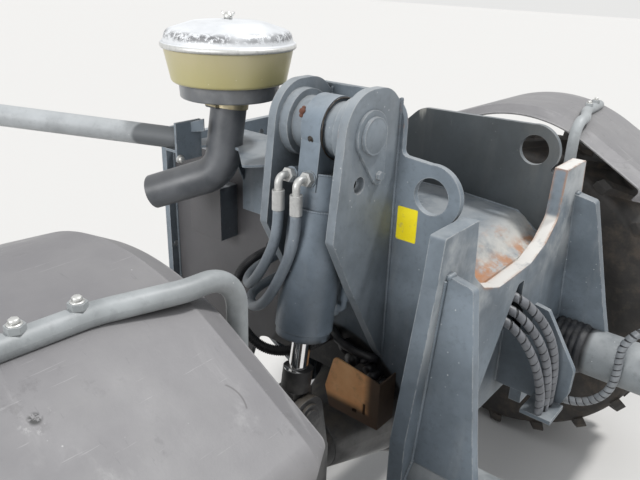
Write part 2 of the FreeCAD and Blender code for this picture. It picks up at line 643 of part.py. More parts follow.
def tyre():
    half_width = TYRE_W / 2
    profile = [
        (RIM_R - 2.7, -163.7), (326.3, -163.7), (332, -178), (452, -half_width, 90), (562, -186, 26), (574, -60, 300), (576, 0),
        (574, 60, 300), (562, 186, 26), (452, half_width, 90), (332, 178), (326.3, 163.7), (RIM_R - 2.7, 163.7),
        (RIM_R - 2.7, 138), (340, 150), (450, 178, 60), (548, 160, 40), (548, -160, 40), (450, -178, 60),
        (340, -150), (RIM_R - 2.7, -138),
    ]
    body = turned(profile, (0, 0, 0), (0, 1, 0))
    lug_pieces = []
    pitch = 360.0 / LUGS
    for side in (1, -1):
        for k in range(LUGS):
            foot = [(56, -6), (100, -6), (-42, 190), (-84, 190)]
            pts = [(a, side * b) for a, b in foot]
            piece = plate_xy(pts, 552, 592)
            tip = [(550, -side * 8), (550, side * 200), (562, side * 200), (592, side * 178), (592, -side * 8)]
            trim = Part.Face(wire([(b, a) for a, b in tip], lambda a, b: V(-200, a, b))).extrude(V(400, 0, 0))
            piece = piece.common(trim)
            piece.rotate(V(0, 0, 0), V(0, 1, 0), pitch * (k + (0.5 if side > 0 else 0)))
            lug_pieces.append(piece)
    return body.multiFuse(lug_pieces)


def rim():
    profile = [
        (326, -174, 3), (326, -164), (RIM_R - 3, -164), (RIM_R - 3, -122, 6), (272, -88, 10), (272, 88, 10),
        (RIM_R - 3, 122, 6), (RIM_R - 3, 164), (326, 164), (326, 174, 3), (RIM_R - 11, 174, 8),
        (RIM_R - 11, 126, 8), (262, 96, 8), (262, -96, 8), (RIM_R - 11, -126, 8), (RIM_R - 11, -174, 8),
    ]
    shape = turned(profile, (0, 0, 0), (0, 1, 0))
    step = DISC_Y - TRACK_Y
    disc = turned(
        [(HUB_PILOT_R + FIT, step), (190, step), (262.5, step - 46), (262.5, step - 34), (196, step + 12),
         (HUB_PILOT_R + FIT, step + 12)],
        (0, 0, 0), (0, 1, 0))
    shape = shape.fuse(disc)
    for k in range(8):
        a = RAD(45 * k + 22.5)
        shape = shape.cut(rod((222 * math.cos(a), -60, 222 * math.sin(a)), (222 * math.cos(a), 60, 222 * math.sin(a)), 19))
    return shape


def hub():
    body = turned(
        [(60 + FIT, 900), (92, 900), (112, 918, 6), (112, 990), (158, 1008, 5), (158, DISC_Y - GAP), (HUB_PILOT_R, DISC_Y - GAP),
         (HUB_PILOT_R, 1100, 10), (84, 1106), (84, 1118, 4), (0, 1118), (0, DISC_Y - 20), (60 + FIT, DISC_Y - 20)],
        (AXLE_X, 0, AXLE_Z), (0, 1, 0))
    extra = []
    for k in range(10):
        a = RAD(36 * k)
        x = AXLE_X + 138 * math.cos(a)
        z = AXLE_Z + 138 * math.sin(a)
        extra.append(rod((x, DISC_Y - 10, z), (x, DISC_Y + 12.3, z), 10))
        extra.append(hexagon((x, DISC_Y + 12.3, z), (0, 1, 0), 32, 20))
    return fused(body, *extra)


made = {"knuckle": knuckle(), "mudguard": mudguard, "mudguard_tube": mudguard_tube}
wheel_tyre = tyre()
wheel_rim = rim()
stud_holes = Part.makeCompound([
    rod((138 * math.cos(RAD(36 * k)), -20, 138 * math.sin(RAD(36 * k))),
        (138 * math.cos(RAD(36 * k)), 60, 138 * math.sin(RAD(36 * k))), 10 + FIT) for k in range(10)])
wheel_rim = wheel_rim.cut(stud_holes)
for shape in (wheel_tyre, wheel_rim):
    shape.translate(V(AXLE_X, TRACK_Y, AXLE_Z))
made["tyre"] = wheel_tyre
made["rim"] = wheel_rim
made["hub"] = hub()
for name in sorted(made):
    save(name + "_left", made[name])
    save(name + "_right", mirrored(made[name]))


# Hoses
def hose(name, radius, points):
    """Straight runs joined by arcs of 0.45 x the shorter run / tan(half the turn)."""
    bends = []
    for i in range(1, len(points) - 1):
        a = V(*points[i]) - V(*points[i - 1])
        b = V(*points[i + 1]) - V(*points[i])
        turn = a.getAngle(b)
        short = min(a.Length, b.Length)
        bends.append(0.45 * short / max(math.tan(turn / 2), 0.01))
    print(name, "diameter", 2 * radius, "smallest radius", round(min(bends)), "length",
          round(path(points, bends).Length))
    save(name, pipe(points, radius, bends))


FACE = -PLATE_OUT - GAP
A = FITTING_ENDS[0]
B = FITTING_ENDS[1]
HOSES = [
    ("level_hose_rear", 11.5, [A, (A[0], A[1], 1240), (-256, -504, 1160), (-312, -492, 1092), (-372, -440, 1078),
                               (-400, -360, 1080), (HOSE_HOLES[0][0], -255, HOSE_HOLES[0][1])]),
    ("level_hose_front", 11.5, [B, (B[0], B[1], 1240), (-208, -504, 1150), (-258, -500, 1070), (-322, -478, 1030),
                                (-374, -428, 1028), (-394, -352, 1026), (HOSE_HOLES[1][0], -255, HOSE_HOLES[1][1])]),
    ("loom_hose", 13.0, [(-448, FACE, 1072), (-448, -352, 1072), (-430, -424, 1045), (-408, -456, 990),
                         (-376, -446, 930), (-330, -430, 893), (-278, -400, 892), (-236, -352, 906),
                         (-236, FACE, 906)]),
    ("front_hose_1", 12.0, [(PANEL_X + GAP, 36, 1012), (90, 36, 1012), (138, 60, 976), (170, 92, 920), (188, 122, 850),
                            (194, 140, 775), (192, 150, 715), (192, 150, CLAMP_Z + GAP)]),
    ("front_hose_2", 12.0, [(PANEL_X + GAP, 18, 984), (86, 18, 984), (134, 38, 948), (166, 68, 890), (184, 96, 822),
                            (190, 112, 755), (190, 124, 705), (190, 124, CLAMP_Z + GAP)]),
    ("front_hose_3", 12.0, [(PANEL_X + GAP, 0, 958), (80, 0, 958), (124, 16, 926), (154, 44, 868), (174, 70, 800),
                            (184, 86, 738), (185, 98, 700), (185, 98, CLAMP_Z + GAP)]),
    ("side_hose", 12.0, [(404, TUBE_Y, TUBE_Z + TUBE_R + 14.3), (404, TUBE_Y, 868), (356, 312, 896), (313, 299, 845),
                         (312, 298, 785), (314, 297, 725), (300, 290, 672), (258, 279, 632), (200, SIDE_PORT[1], SIDE_PORT[2]),
                         (FRONT_X + 14 + GAP, SIDE_PORT[1], SIDE_PORT[2])]),
]
for name, radius, points in HOSES:
    hose(name, radius, points)

print("ram length", round(RAM_LENGTH, 1))
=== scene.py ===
import bpy
import math
from mathutils import Matrix, Vector, noise


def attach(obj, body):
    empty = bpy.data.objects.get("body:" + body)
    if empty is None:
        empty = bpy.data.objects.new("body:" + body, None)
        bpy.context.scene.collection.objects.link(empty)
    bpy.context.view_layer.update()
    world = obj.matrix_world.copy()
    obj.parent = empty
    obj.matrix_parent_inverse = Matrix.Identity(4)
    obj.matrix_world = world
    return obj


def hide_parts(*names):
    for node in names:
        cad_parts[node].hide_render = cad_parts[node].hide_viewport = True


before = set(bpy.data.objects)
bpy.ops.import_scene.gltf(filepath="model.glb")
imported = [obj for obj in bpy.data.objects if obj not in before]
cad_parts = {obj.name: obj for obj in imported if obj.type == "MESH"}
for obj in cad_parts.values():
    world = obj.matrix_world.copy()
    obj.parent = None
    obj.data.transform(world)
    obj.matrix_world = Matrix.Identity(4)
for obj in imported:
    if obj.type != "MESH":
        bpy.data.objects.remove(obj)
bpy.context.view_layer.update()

# Places on the machine are in mm: x from the lifting hole, y from the centre line, z from the ground
GROUND_FRAME = Vector((850.0, 0.0, -900.0))
MM = 0.001


def at(x, y, z):
    return (Vector((x, y, z)) + GROUND_FRAME) * MM


PLATE_OUT = 272.5  # side plates' outer and inner faces, each side of the centre line
PLATE_IN = 257.5
REAR_X = -830.0  # side plates' rear edges
FRONT_X = 101.0  # front plate's two faces
FRONT_BACK = 66.0
PANEL_X = 24.0  # recessed panel below the front plate's seat
GUSSET_Y = 352.0  # middle of each gusset at its top
GUSSET_TOP = 1200.0
GUSSET_HALF = 12.5
GUSSET_LEAN = 0.1505
EAR_FRONT_X = -88.5  # outer faces of the levelling ram's two ears
EAR_REAR_X = -287.5
EAR_T = 20.0
RAM_X = -188.0
PIN = (RAM_X, -374.6, 1455.0)  # the ram's upper and lower pins
FOOT = (RAM_X, -480.0, 815.0)
AXLE_X = -250.0
AXLE_Z = 600.0
KING_Y = 815.0  # kingpins
DISC_Y = 1027.0  # wheel discs
TUBE_Y = 385.0  # stabiliser tubes' axes
TUBE_Z = 735.0
CLAMP_Z = 662.0  # top of the front hoses' clamp
SIDE_PORT = (FRONT_X, 262.0, 622.0)
HOSE_HOLES = [(-404.0, 1080.0), (-394.0, 1025.0)]  # x and z, in the right side plate
LOOM_ENDS = [(-448.0, 1072.0), (-236.0, 906.0)]
NECK_TOP = Vector((-470.5, -386.8, 1487.3))
NECK_LOW = Vector((-480.0, -412.0, 1305.0))
CLAMP_BAND = (0.0158, 0.0322)  # from the neck's top, in metres
INTAKE = (-471.0, -388.0)  # the pre-cleaner's axis
COLLAR_TOP = 1513.0
DOME_FOOT = 1590.0
DOME_TOP = 1645.0
MUDGUARD_HOLE = at(-20.9, -1130.4, 1256.3)
X_AXIS = Vector((1, 0, 0))
Y_AXIS = Vector((0, 1, 0))
Z_AXIS = Vector((0, 0, 1))
X, Y, Z = range(3)


# Materials
class Finish:
    """One node material on one Principled shader. Each method gives a socket for the next."""

    def __init__(self, name, rough=0.5, metal=0.0):
        self.material = bpy.data.materials.new(name)
        self.material.use_nodes = True
        self.tree = self.material.node_tree
        self.shader = self.tree.nodes["Principled BSDF"]
        self.shader.inputs["Roughness"].default_value = rough
        self.shader.inputs["Metallic"].default_value = metal
        self.place = self.add("ShaderNodeTexCoord").outputs["Object"]
        self.normal = self.add("ShaderNodeNewGeometry").outputs["Normal"]

    def put(self, socket, value):
        if isinstance(value, bpy.types.NodeSocket):
            self.tree.links.new(value, socket)
        elif hasattr(value, "__len__") and len(value) == 3 and socket.type == "RGBA":
            socket.default_value = (*value, 1.0)
        else:
            socket.default_value = value

    def add(self, kind, inputs=None, **settings):
        node = self.tree.nodes.new(kind)
        for key, value in settings.items():
            setattr(node, key, value)
        for key, value in (inputs or {}).items():
            self.put(node.inputs[key], value)
        return node

    def times(self, a, b):
        return self.add("ShaderNodeMath", {0: a, 1: b}, operation="MULTIPLY", use_clamp=True).outputs[0]

    def larger(self, a, b):
        return self.add("ShaderNodeMath", {0: a, 1: b}, operation="MAXIMUM", use_clamp=True).outputs[0]

    def total(self, a, b):
        return self.add("ShaderNodeMath", {0: a, 1: b}, operation="ADD").outputs[0]

    def vectors(self, operation, a, b):
        """One number from two vectors."""
        return self.add("ShaderNodeVectorMath", {0: a, 1: b}, operation=operation).outputs["Value"]

    def band(self, value, low, high):
        """0 at low and 1 at high, clamped and smooth. low may be above high."""
        node = self.add("ShaderNodeMapRange", {"Value": value, "From Min": low, "From Max": high},
                        interpolation_type="SMOOTHSTEP")
        return node.outputs["Result"]

    def noise(self, scale, detail=4.0, rough=0.55, stretch=None, warp=0.0):
        place = self.place
        if stretch:
            place = self.add("ShaderNodeMapping", {"Vector": place, "Scale": stretch}).outputs[0]
        node = self.add("ShaderNodeTexNoise", {
            "Vector": place, "Scale": scale, "Detail": detail, "Roughness": rough, "Distortion": warp})
        return node.outputs["Fac"]

    def specks(self, scale, size):
        """1 inside scattered dots of the given share of their cells."""
        node = self.add("ShaderNodeTexVoronoi", {"Vector": self.place, "Scale": scale, "Randomness": 1.0})
        return self.band(node.outputs["Distance"], size, size * 0.4)

    def mix(self, share, a, b):
        node = self.add("ShaderNodeMix", {"Factor": share}, data_type="RGBA")
        self.put(node.inputs[6], a)
        self.put(node.inputs[7], b)
        return node.outputs[2]

    def facing(self, axis, low, high):
        parts = self.add("ShaderNodeSeparateXYZ", {"Vector": self.normal})
        return self.band(parts.outputs[axis], low, high)

    def height(self, axis, low, high):
        """0 at low and 1 at high, in metres along an axis of the piece."""
        parts = self.add("ShaderNodeSeparateXYZ", {"Vector": self.place})
        return self.band(parts.outputs[axis], low, high)

    def span(self, axis, low, high):
        """0 at low and 1 at high, in mm on the machine, for a piece of the frame."""
        return self.height(axis, at(low, low, low)[axis], at(high, high, high)[axis])

    def near(self, centre, inner, outer):
        """1 within inner metres of a point, 0 past outer."""
        return self.band(self.vectors("DISTANCE", self.place, tuple(centre)), outer, inner)

    def rounded(self, radius):
        return self.add("ShaderNodeBevel", {"Radius": radius}, samples=4).outputs["Normal"]

    def edges(self, radius):
        """1 where two faces meet within radius metres."""
        return self.band(self.vectors("DOT_PRODUCT", self.rounded(radius), self.normal), 0.985, 0.86)

    def hollows(self, reach):
        """1 in corners and under other pieces."""
        node = self.add("ShaderNodeAmbientOcclusion", {"Distance": reach}, samples=6)
        return self.band(node.outputs["AO"], 0.75, 0.25)

    def bump(self, height, strength, distance=0.001, soft_edge=0.0):
        node = self.add("ShaderNodeBump", {"Height": height, "Strength": strength, "Distance": distance})
        if soft_edge > 0:
            self.put(node.inputs["Normal"], self.rounded(soft_edge))
        self.put(self.shader.inputs["Normal"], node.outputs["Normal"])

    def colour(self, value):
        self.put(self.shader.inputs["Base Color"], value)

    def base(self):
        """The colour as it stands, to lay more over it."""
        return self.shader.inputs["Base Color"].links[0].from_socket

    def rough(self, value, low, high):
        """Roughness low where value is 0 and high where it is 1."""
        node = self.add("ShaderNodeMapRange", {"Value": value, "To Min": low, "To Max": high})
        self.put(self.shader.inputs["Roughness"], node.outputs["Result"])

    def metallic(self, value):
        self.put(self.shader.inputs["Metallic"], value)


def shade(colour, by, lift=0.0):
    return tuple(c * by + lift for c in colour)


DUST = (0.36, 0.37, 0.37)
RUST = (0.30, 0.105, 0.035)
# dark tone for oily dirt, and for the painted shade that paint() lays in hollows
DIRT_AND_SHADE_TONE = (0.022, 0.020, 0.018)


def paint(name, base, worn=0.5, rust=0.3, dust=0.5, hollow_dirt_and_shade=0.5, gloss=0.42):
    """Sprayed paint on steel: chalky patches, dust on top, worn and rusting edges, dirt and painted shade in
    corners and under other pieces.
    """
    f = Finish(name)
    patches = f.band(f.noise(4.5, 5, 0.6), 0.3, 0.7)
    tone = f.mix(patches, shade(base, 0.78), shade(base, 1.30, 0.014))
    mottle = f.band(f.noise(62, 5, 0.7), 0.50, 0.68)
    tone = f.mix(f.times(mottle, 0.30), tone, shade(base, 0.62))
    streaks = f.band(f.noise(14, 6, 0.62, stretch=(1.0, 1.0, 0.22)), 0.52, 0.78)
    tone = f.mix(f.times(streaks, 0.30), tone, DUST)
    top = f.times(f.facing(Z, 0.35, 0.95), f.band(f.noise(9, 5, 0.6), 0.25, 0.62))
    tone = f.mix(f.times(top, dust), tone, DUST)
    # dirt and painted shade: darker in corners and under other pieces, in patches
    dirt = f.times(f.hollows(0.06), hollow_dirt_and_shade)
    tone = f.mix(f.times(dirt, f.band(f.noise(22, 4), 0.25, 0.6)), tone, DIRT_AND_SHADE_TONE)
    edge = f.edges(0.004)
    rubbed = f.times(edge, f.band(f.noise(30, 6, 0.7), 0.38, 0.55))
    tone = f.mix(f.times(rubbed, worn), tone, (0.50, 0.51, 0.50))
    brown = f.times(f.edges(0.009), f.band(f.noise(17, 7, 0.7, warp=0.6), 0.60, 0.72))
    tone = f.mix(f.times(brown, rust), tone, RUST)
    chips = f.times(f.specks(40, 0.080), f.band(f.noise(7, 3), 0.42, 0.58))
    tone = f.mix(f.times(chips, 0.75), tone, (0.55, 0.56, 0.55))
    f.colour(tone)
    f.rough(f.noise(11, 5), gloss - 0.10, gloss + 0.24)
    skin = f.total(f.noise(260, 3), f.noise(38, 4))
    f.bump(skin, 0.16, 0.0008, soft_edge=0.0016)
    return f


def steel(name, base, rough=0.35, metal=0.8, dirt=0.4, grain=60):
    """Plated or bare metal with dull patches, and dirt and painted shade in its hollows."""
    f = Finish(name, metal=metal)
    dull = f.band(f.noise(grain, 5, 0.65), 0.42, 0.72)
    tone = f.mix(f.times(dull, 0.6), base, shade(base, 0.62))
    # dirt and painted shade in hollows
    tone = f.mix(f.times(f.hollows(0.012), dirt), tone, (0.06, 0.05, 0.04))
    f.colour(tone)
    f.rough(dull, rough, min(1.0, rough + 0.25))
    f.bump(f.noise(grain * 6, 3), 0.10, 0.0005, soft_edge=0.0008)
    return f


def rubber(name, base, rough=0.55, dust=0.3, ribs=0.0):
    f = Finish(name)
    tone = f.mix(f.band(f.noise(24, 5), 0.35, 0.7), base, shade(base, 1.5, 0.004))
    top = f.times(f.facing(Z, 0.2, 0.95), f.band(f.noise(40, 5), 0.35, 0.65))
    tone = f.mix(f.times(top, dust), tone, (0.20, 0.195, 0.185))
    f.colour(tone)
    f.rough(f.noise(30, 4), rough - 0.1, rough + 0.2)
    f.bump(f.noise(420, 3), 0.15 + ribs, 0.0005)
    return f


CHASSIS = (0.132, 0.160, 0.186)
RAM_PAINT = (0.150, 0.185, 0.220)
# scratches on the mudguard: each arc's centre and radius, its middle and how far it reaches from there
MUDGUARD_MARKS = [(at(73, -928, 1203), 0.041, at(70, -889, 1204), 0.025)]


def mudguard_plastic(hole, marks):
    """Moulded mid-grey shell: scuffs, pale rubbed edges, fine scratches, one long cut, one puncture, painted
    shade in hollows and under the stay tube.
    """
    f = Finish("mudguard_plastic")
    tone = f.mix(f.band(f.noise(3.2, 5, 0.6), 0.3, 0.7), (0.178, 0.172, 0.176), (0.232, 0.225, 0.224))
    fine = f.band(f.noise(150, 6, 0.7), 0.35, 0.75)
    tone = f.mix(f.times(fine, 0.22), tone, (0.20, 0.195, 0.20))
    smear = f.band(f.noise(9, 6, 0.65, stretch=(0.35, 1.4, 1.0), warp=0.8), 0.55, 0.78)
    tone = f.mix(f.times(smear, 0.38), tone, (0.43, 0.42, 0.41))
    scratch = f.band(f.noise(60, 4, 0.6, stretch=(3.5, 0.16, 1.0), warp=0.4), 0.655, 0.70)
    tone = f.mix(f.times(scratch, 0.18), tone, (0.50, 0.49, 0.48))
    scratch_b = f.band(f.noise(48, 4, 0.6, stretch=(0.2, 3.0, 1.0), warp=0.5), 0.67, 0.71)
    tone = f.mix(f.times(scratch_b, 0.3), tone, (0.11, 0.11, 0.115))
    nicks = f.times(f.specks(42, 0.07), f.band(f.noise(6, 3), 0.5, 0.7))
    tone = f.mix(f.times(nicks, 0.8), tone, (0.62, 0.61, 0.60))
    worn = f.times(f.edges(0.012), f.band(f.noise(20, 5), 0.3, 0.6))
    tone = f.mix(f.times(worn, 0.55), tone, (0.50, 0.49, 0.48))
    spots = f.times(f.band(f.noise(26, 6, 0.7), 0.56, 0.70), f.band(f.noise(4, 3), 0.40, 0.60))
    tone = f.mix(f.times(spots, 0.45), tone, (0.115, 0.110, 0.112))
    # painted shadow in hollows and under the stay tube
    tone = f.mix(f.times(f.hollows(0.035), 0.85), tone, (0.045, 0.044, 0.043))
    for centre, radius, middle, reach in marks:
        away = f.vectors("DISTANCE", f.place, tuple(centre))
        ring = f.times(f.band(away, radius - 0.0020, radius - 0.0006),
                      f.band(away, radius + 0.0020, radius + 0.0006))
        arc = f.times(ring, f.near(middle, reach * 0.85, reach))
        tone = f.mix(f.times(arc, 0.75), tone, (0.085, 0.080, 0.080))
    ragged = f.band(f.noise(130, 5, 0.7), 0.42, 0.54)
    torn = f.times(f.near(hole, 0.005, 0.011), ragged)
    crease = f.times(f.near(hole, 0.008, 0.030), f.band(f.noise(70, 5, 0.7), 0.56, 0.66))
    tone = f.mix(f.times(crease, 0.6), tone, (0.43, 0.42, 0.41))
    tone = f.mix(torn, tone, (0.020, 0.020, 0.020))
    f.colour(tone)
    f.rough(f.noise(14, 6), 0.42, 0.68)
    relief = f.total(f.noise(240, 4), f.noise(8, 3))
    f.bump(relief, 0.22, 0.0009, soft_edge=0.003)
    return f


def bowl_plastic(split):
    """Yellowed clear bowl above, grey moulded collar below the height split."""
    f = Finish("precleaner_bowl_plastic", rough=0.32)
    tone = f.mix(f.height(Z, split, split + 0.085), (0.43, 0.385, 0.185), (0.455, 0.405, 0.250))
    streaks = f.band(f.noise(16, 5, 0.6, stretch=(1.0, 1.0, 0.25)), 0.4, 0.75)
    tone = f.mix(f.times(streaks, 0.45), tone, (0.40, 0.37, 0.19))
    tone = f.mix(f.times(f.specks(60, 0.1), 0.4), tone, (0.75, 0.70, 0.52))
    collar = f.mix(f.band(f.noise(20, 5), 0.35, 0.7), (0.13, 0.135, 0.142), (0.21, 0.215, 0.22))
    f.colour(f.mix(f.height(Z, split - 0.0005, split + 0.0005), collar, tone))
    f.shader.inputs["Subsurface Weight"].default_value = 0.08
    f.shader.inputs["Subsurface Radius"].default_value = (0.02, 0.015, 0.006)
    f.bump(f.noise(30, 3), 0.12, 0.0006, soft_edge=0.001)
    return f


def dome_finish(low):
    """Chalky silver paint, rubbed through to dark metal in a ragged band low on the dome."""
    f = Finish("precleaner_dome_silver", metal=0.12)
    tone = f.mix(f.band(f.noise(9, 5), 0.3, 0.7), (0.58, 0.59, 0.60), (0.74, 0.75, 0.76))
    ring = f.times(f.height(Z, low + 0.013, low + 0.022), f.height(Z, low + 0.038, low + 0.028))
    ragged = f.times(ring, f.band(f.noise(75, 10, 0.80, warp=0.3), 0.46, 0.53))
    sparse = f.times(ragged, f.band(f.noise(5, 2), 0.33, 0.50))
    tone = f.mix(f.times(sparse, 0.9), tone, (0.11, 0.11, 0.115))
    tone = f.mix(f.times(f.specks(70, 0.09), 0.35), tone, (0.18, 0.18, 0.18))
    f.colour(tone)
    f.rough(f.noise(25, 6), 0.30, 0.58)
    f.bump(f.noise(110, 6, 0.7), 0.25, 0.0007, soft_edge=0.001)
    return f


def elbow_rubber(top, low, clamp):
    """Dark rubber elbow with a brass-coloured clamp band round its neck, from top to low, and a painted
    sheen on its upward faces.
    """
    f = Finish("intake_rubber")
    way = (low - top).normalized()
    along = f.vectors("DOT_PRODUCT", f.place, tuple(way))
    start, end = (top.dot(way) + distance for distance in clamp)
    tone = f.mix(f.band(f.noise(11, 5), 0.3, 0.7), (0.066, 0.071, 0.078), (0.130, 0.136, 0.145))
    # painted sheen: upward faces lighter
    tone = f.mix(f.times(f.facing(Z, 0.1, 0.9), 0.35), tone, (0.17, 0.17, 0.17))
    band = f.times(f.band(along, start - 0.0003, start), f.band(along, end, end - 0.0003))
    brass = f.mix(f.band(f.noise(40, 5), 0.35, 0.7), (0.42, 0.36, 0.22), (0.60, 0.53, 0.36))
    f.colour(f.mix(band, tone, brass))
    f.metallic(f.times(band, 0.75))
    f.rough(f.noise(30, 4), 0.30, 0.52)
    f.bump(f.noise(60, 5), 0.15, 0.0008)
    return f


def axle_iron():
    """Cast iron under old paint, oil and dust."""
    f = Finish("axle_oily_iron")
    tone = f.mix(f.band(f.noise(9, 6, 0.65), 0.35, 0.65), (0.027, 0.027, 0.028), (0.085, 0.085, 0.085))
    dust = f.times(f.facing(Z, 0.1, 0.9), f.band(f.noise(16, 6, 0.7), 0.40, 0.62))
    tone = f.mix(f.times(dust, 0.55), tone, (0.16, 0.135, 0.105))
    tone = f.mix(f.times(f.edges(0.006), 0.25), tone, (0.20, 0.20, 0.20))
    f.colour(tone)
    wet = f.band(f.noise(5, 4), 0.45, 0.6)
    f.rough(wet, 0.28, 0.75)
    cast = f.total(f.noise(180, 4), f.noise(24, 5))
    f.bump(cast, 0.45, 0.0014, soft_edge=0.003)
    return f


def primer():
    """Orange-brown primer with painted shade along its lower edge and its front end."""
    f = Finish("guard_primer", rough=0.62)
    tone = f.mix(f.band(f.noise(12, 5), 0.3, 0.7), (0.74, 0.350, 0.145), (0.88, 0.500, 0.235))
    tone = f.mix(f.times(f.band(f.noise(20, 6, 0.7), 0.50, 0.74), 0.55), tone, (0.120, 0.070, 0.045))
    tone = f.mix(f.times(f.edges(0.005), 0.4), tone, (0.58, 0.36, 0.18))
    # painted shade along the lower edge and the front end, in ragged patches
    shaded_edge = f.larger(f.span(Z, 792, 768), f.span(X, -92, -66))
    shaded_edge = f.times(shaded_edge, f.band(f.noise(24, 6, 0.7), 0.22, 0.40))
    tone = f.mix(f.times(shaded_edge, 0.92), tone, (0.030, 0.026, 0.024))
    f.colour(tone)
    f.bump(f.noise(150, 5), 0.2, 0.0007, soft_edge=0.0012)
    return f


def tyre_rubber():
    """Greyed black rubber, earth in the tread's grooves and on the wall."""
    f = Finish("tyre_rubber")
    tone = f.mix(f.band(f.noise(8, 6, 0.6), 0.3, 0.7), (0.017, 0.016, 0.015), (0.040, 0.036, 0.033))
    earth = f.band(f.noise(13, 7, 0.68), 0.45, 0.72)
    tone = f.mix(f.times(earth, 0.55), tone, (0.105, 0.080, 0.058))
    tone = f.mix(f.times(f.hollows(0.05), 0.5), tone, (0.085, 0.066, 0.050))
    tone = f.mix(f.times(f.edges(0.006), 0.3), tone, (0.075, 0.070, 0.066))
    f.colour(tone)
    f.rough(f.noise(20, 5), 0.55, 0.88)
    f.bump(f.noise(170, 6, 0.65), 0.4, 0.0012, soft_edge=0.004)
    return f


def trough_paint():
    """Paint worn off a load-bearing floor: pale rubbed steel that is partly a painted pool of sunlight, and
    orange rust, towards the front edge.
    """
    f = paint("trough_paint", CHASSIS, worn=0.6, rust=0.8, dust=0.65)
    old = f.base()
    front = f.span(X, -70, 55)
    # pale rubbed steel towards the front, partly a painted pool of sunlight
    rubbed = f.times(front, f.band(f.noise(8, 6, 0.65), 0.34, 0.60))
    tone = f.mix(f.times(rubbed, 0.85), old, (0.62, 0.59, 0.53))
    rusty = f.times(front, f.band(f.noise(15, 7, 0.7, stretch=(1.0, 0.4, 1.0)), 0.50, 0.66))
    tone = f.mix(f.times(rusty, 0.85), tone, (0.40, 0.17, 0.065))
    lip = f.times(f.span(X, 18, 50), f.band(f.noise(19, 6, 0.7), 0.45, 0.62))
    tone = f.mix(f.times(lip, 0.8), tone, (0.40, 0.165, 0.055))
    f.colour(tone)
    return f


def front_paint():
    """Front plate: paint rubbed off and rusting on its top edges, where the boom rests; its upper front face
    paler, partly worn paint and partly painted sunlight.
    """
    f = paint("front_plate_paint", CHASSIS, worn=0.7, rust=0.45, dust=0.5)
    old = f.base()
    top = f.facing(Z, 0.15, 0.6)
    # upper front face paler: worn paint, and painted sunlight on the face that meets the sun
    face = f.times(f.facing(X, 0.5, 0.9), f.span(Z, 960, 1110))
    chalky = f.times(face, f.band(f.noise(6, 6, 0.62), 0.36, 0.62))
    tone = f.mix(f.times(chalky, 0.80), old, (0.46, 0.475, 0.475))
    seat = f.span(Y, -215, -165)
    rest = f.times(f.times(top, seat), f.band(f.noise(10, 5, 0.6), 0.24, 0.42))
    tone = f.mix(f.times(rest, 0.9), tone, (0.74, 0.71, 0.66))
    rust_edge = f.times(f.edges(0.014), f.span(Z, 1050, 1110))
    inner = f.times(rust_edge, f.band(f.noise(13, 7, 0.7, warp=0.4), 0.38, 0.54))
    tone = f.mix(f.times(f.times(inner, seat), 0.80), tone, (0.36, 0.165, 0.065))
    f.colour(tone)
    return f


def tube_paint():
    """Stabiliser tubes: sprayed paint, the left one black near the front plate."""
    f = paint("tube_paint", (0.150, 0.165, 0.172), worn=0.3, rust=0.2, dust=0.7)
    old = f.base()
    # black on the left tube towards the front plate
    dark_near_plate = f.times(f.span(X, 226, 206), f.height(Y, -0.01, 0.01))
    f.colour(f.mix(dark_near_plate, old, (0.014, 0.014, 0.015)))
    return f


def rod_finish(stick_end):
    """Chrome stick above, dark forged clevis below the height stick_end."""
    f = Finish("ram_rod_chrome")
    below = f.height(Z, stick_end + 0.001, stick_end - 0.001)
    dull = f.band(f.noise(14, 5, 0.65), 0.42, 0.72)
    chrome = f.mix(f.times(dull, 0.4), (0.78, 0.78, 0.78), (0.50, 0.49, 0.47))
    iron = f.mix(f.band(f.noise(20, 6), 0.35, 0.65), (0.025, 0.024, 0.024), (0.070, 0.066, 0.062))
    f.colour(f.mix(below, chrome, iron))
    f.metallic(f.band(below, 1.0, 0.0))
    f.rough(below, 0.10, 0.60)
    f.bump(f.times(f.noise(160, 4), below), 0.3, 0.0010, soft_edge=0.001)
    return f


def ram_paint(rim):
    """Ram paint with oily dirt on the barrel's mouth, below the height rim."""
    f = paint("ram_paint", RAM_PAINT, worn=0.3, rust=0.25, dust=0.35, gloss=0.34)
    old = f.base()
    low = f.times(f.height(Z, rim + 0.022, rim), f.band(f.noise(28, 5, 0.6), 0.20, 0.50))
    f.colour(f.mix(f.times(low, 0.9), old, DIRT_AND_SHADE_TONE))
    return f


def left_plate_paint():
    """Left side plate: paint outside; inside the trough painted shade over the whole face, with lighter
    stains and pale drips from the top edge.
    """
    f = paint("left_plate_paint", CHASSIS, worn=0.7, rust=0.5, dust=0.5)
    old = f.base()
    # painted shade: the inside face darkened all over
    dark = f.mix(0.74, old, (0.030, 0.031, 0.028))
    high = f.span(Z, 1330, 1385)
    drips = f.times(high, f.band(f.noise(26, 5, 0.6, stretch=(1.0, 1.0, 0.12)), 0.60, 0.70))
    tone = f.mix(f.times(drips, 0.8), dark, (0.42, 0.41, 0.37))
    stains = f.band(f.noise(7, 5, 0.6, stretch=(1.0, 1.0, 0.2)), 0.50, 0.75)
    tone = f.mix(f.times(stains, 0.4), tone, (0.16, 0.155, 0.14))
    f.colour(f.mix(f.facing(Y, 0.2, -0.2), old, tone))
    return f


def fitting_zinc(painted_from):
    """Greyish zinc plate, sprayed over with the barrel's paint past x = painted_from."""
    f = steel("fitting_zinc", (0.53, 0.53, 0.515), rough=0.42, metal=0.45)
    old = f.base()
    bare = f.height(X, painted_from + 0.001, painted_from - 0.001)
    f.colour(f.mix(bare, RAM_PAINT, old))
    f.metallic(f.times(bare, 0.45))
    return f


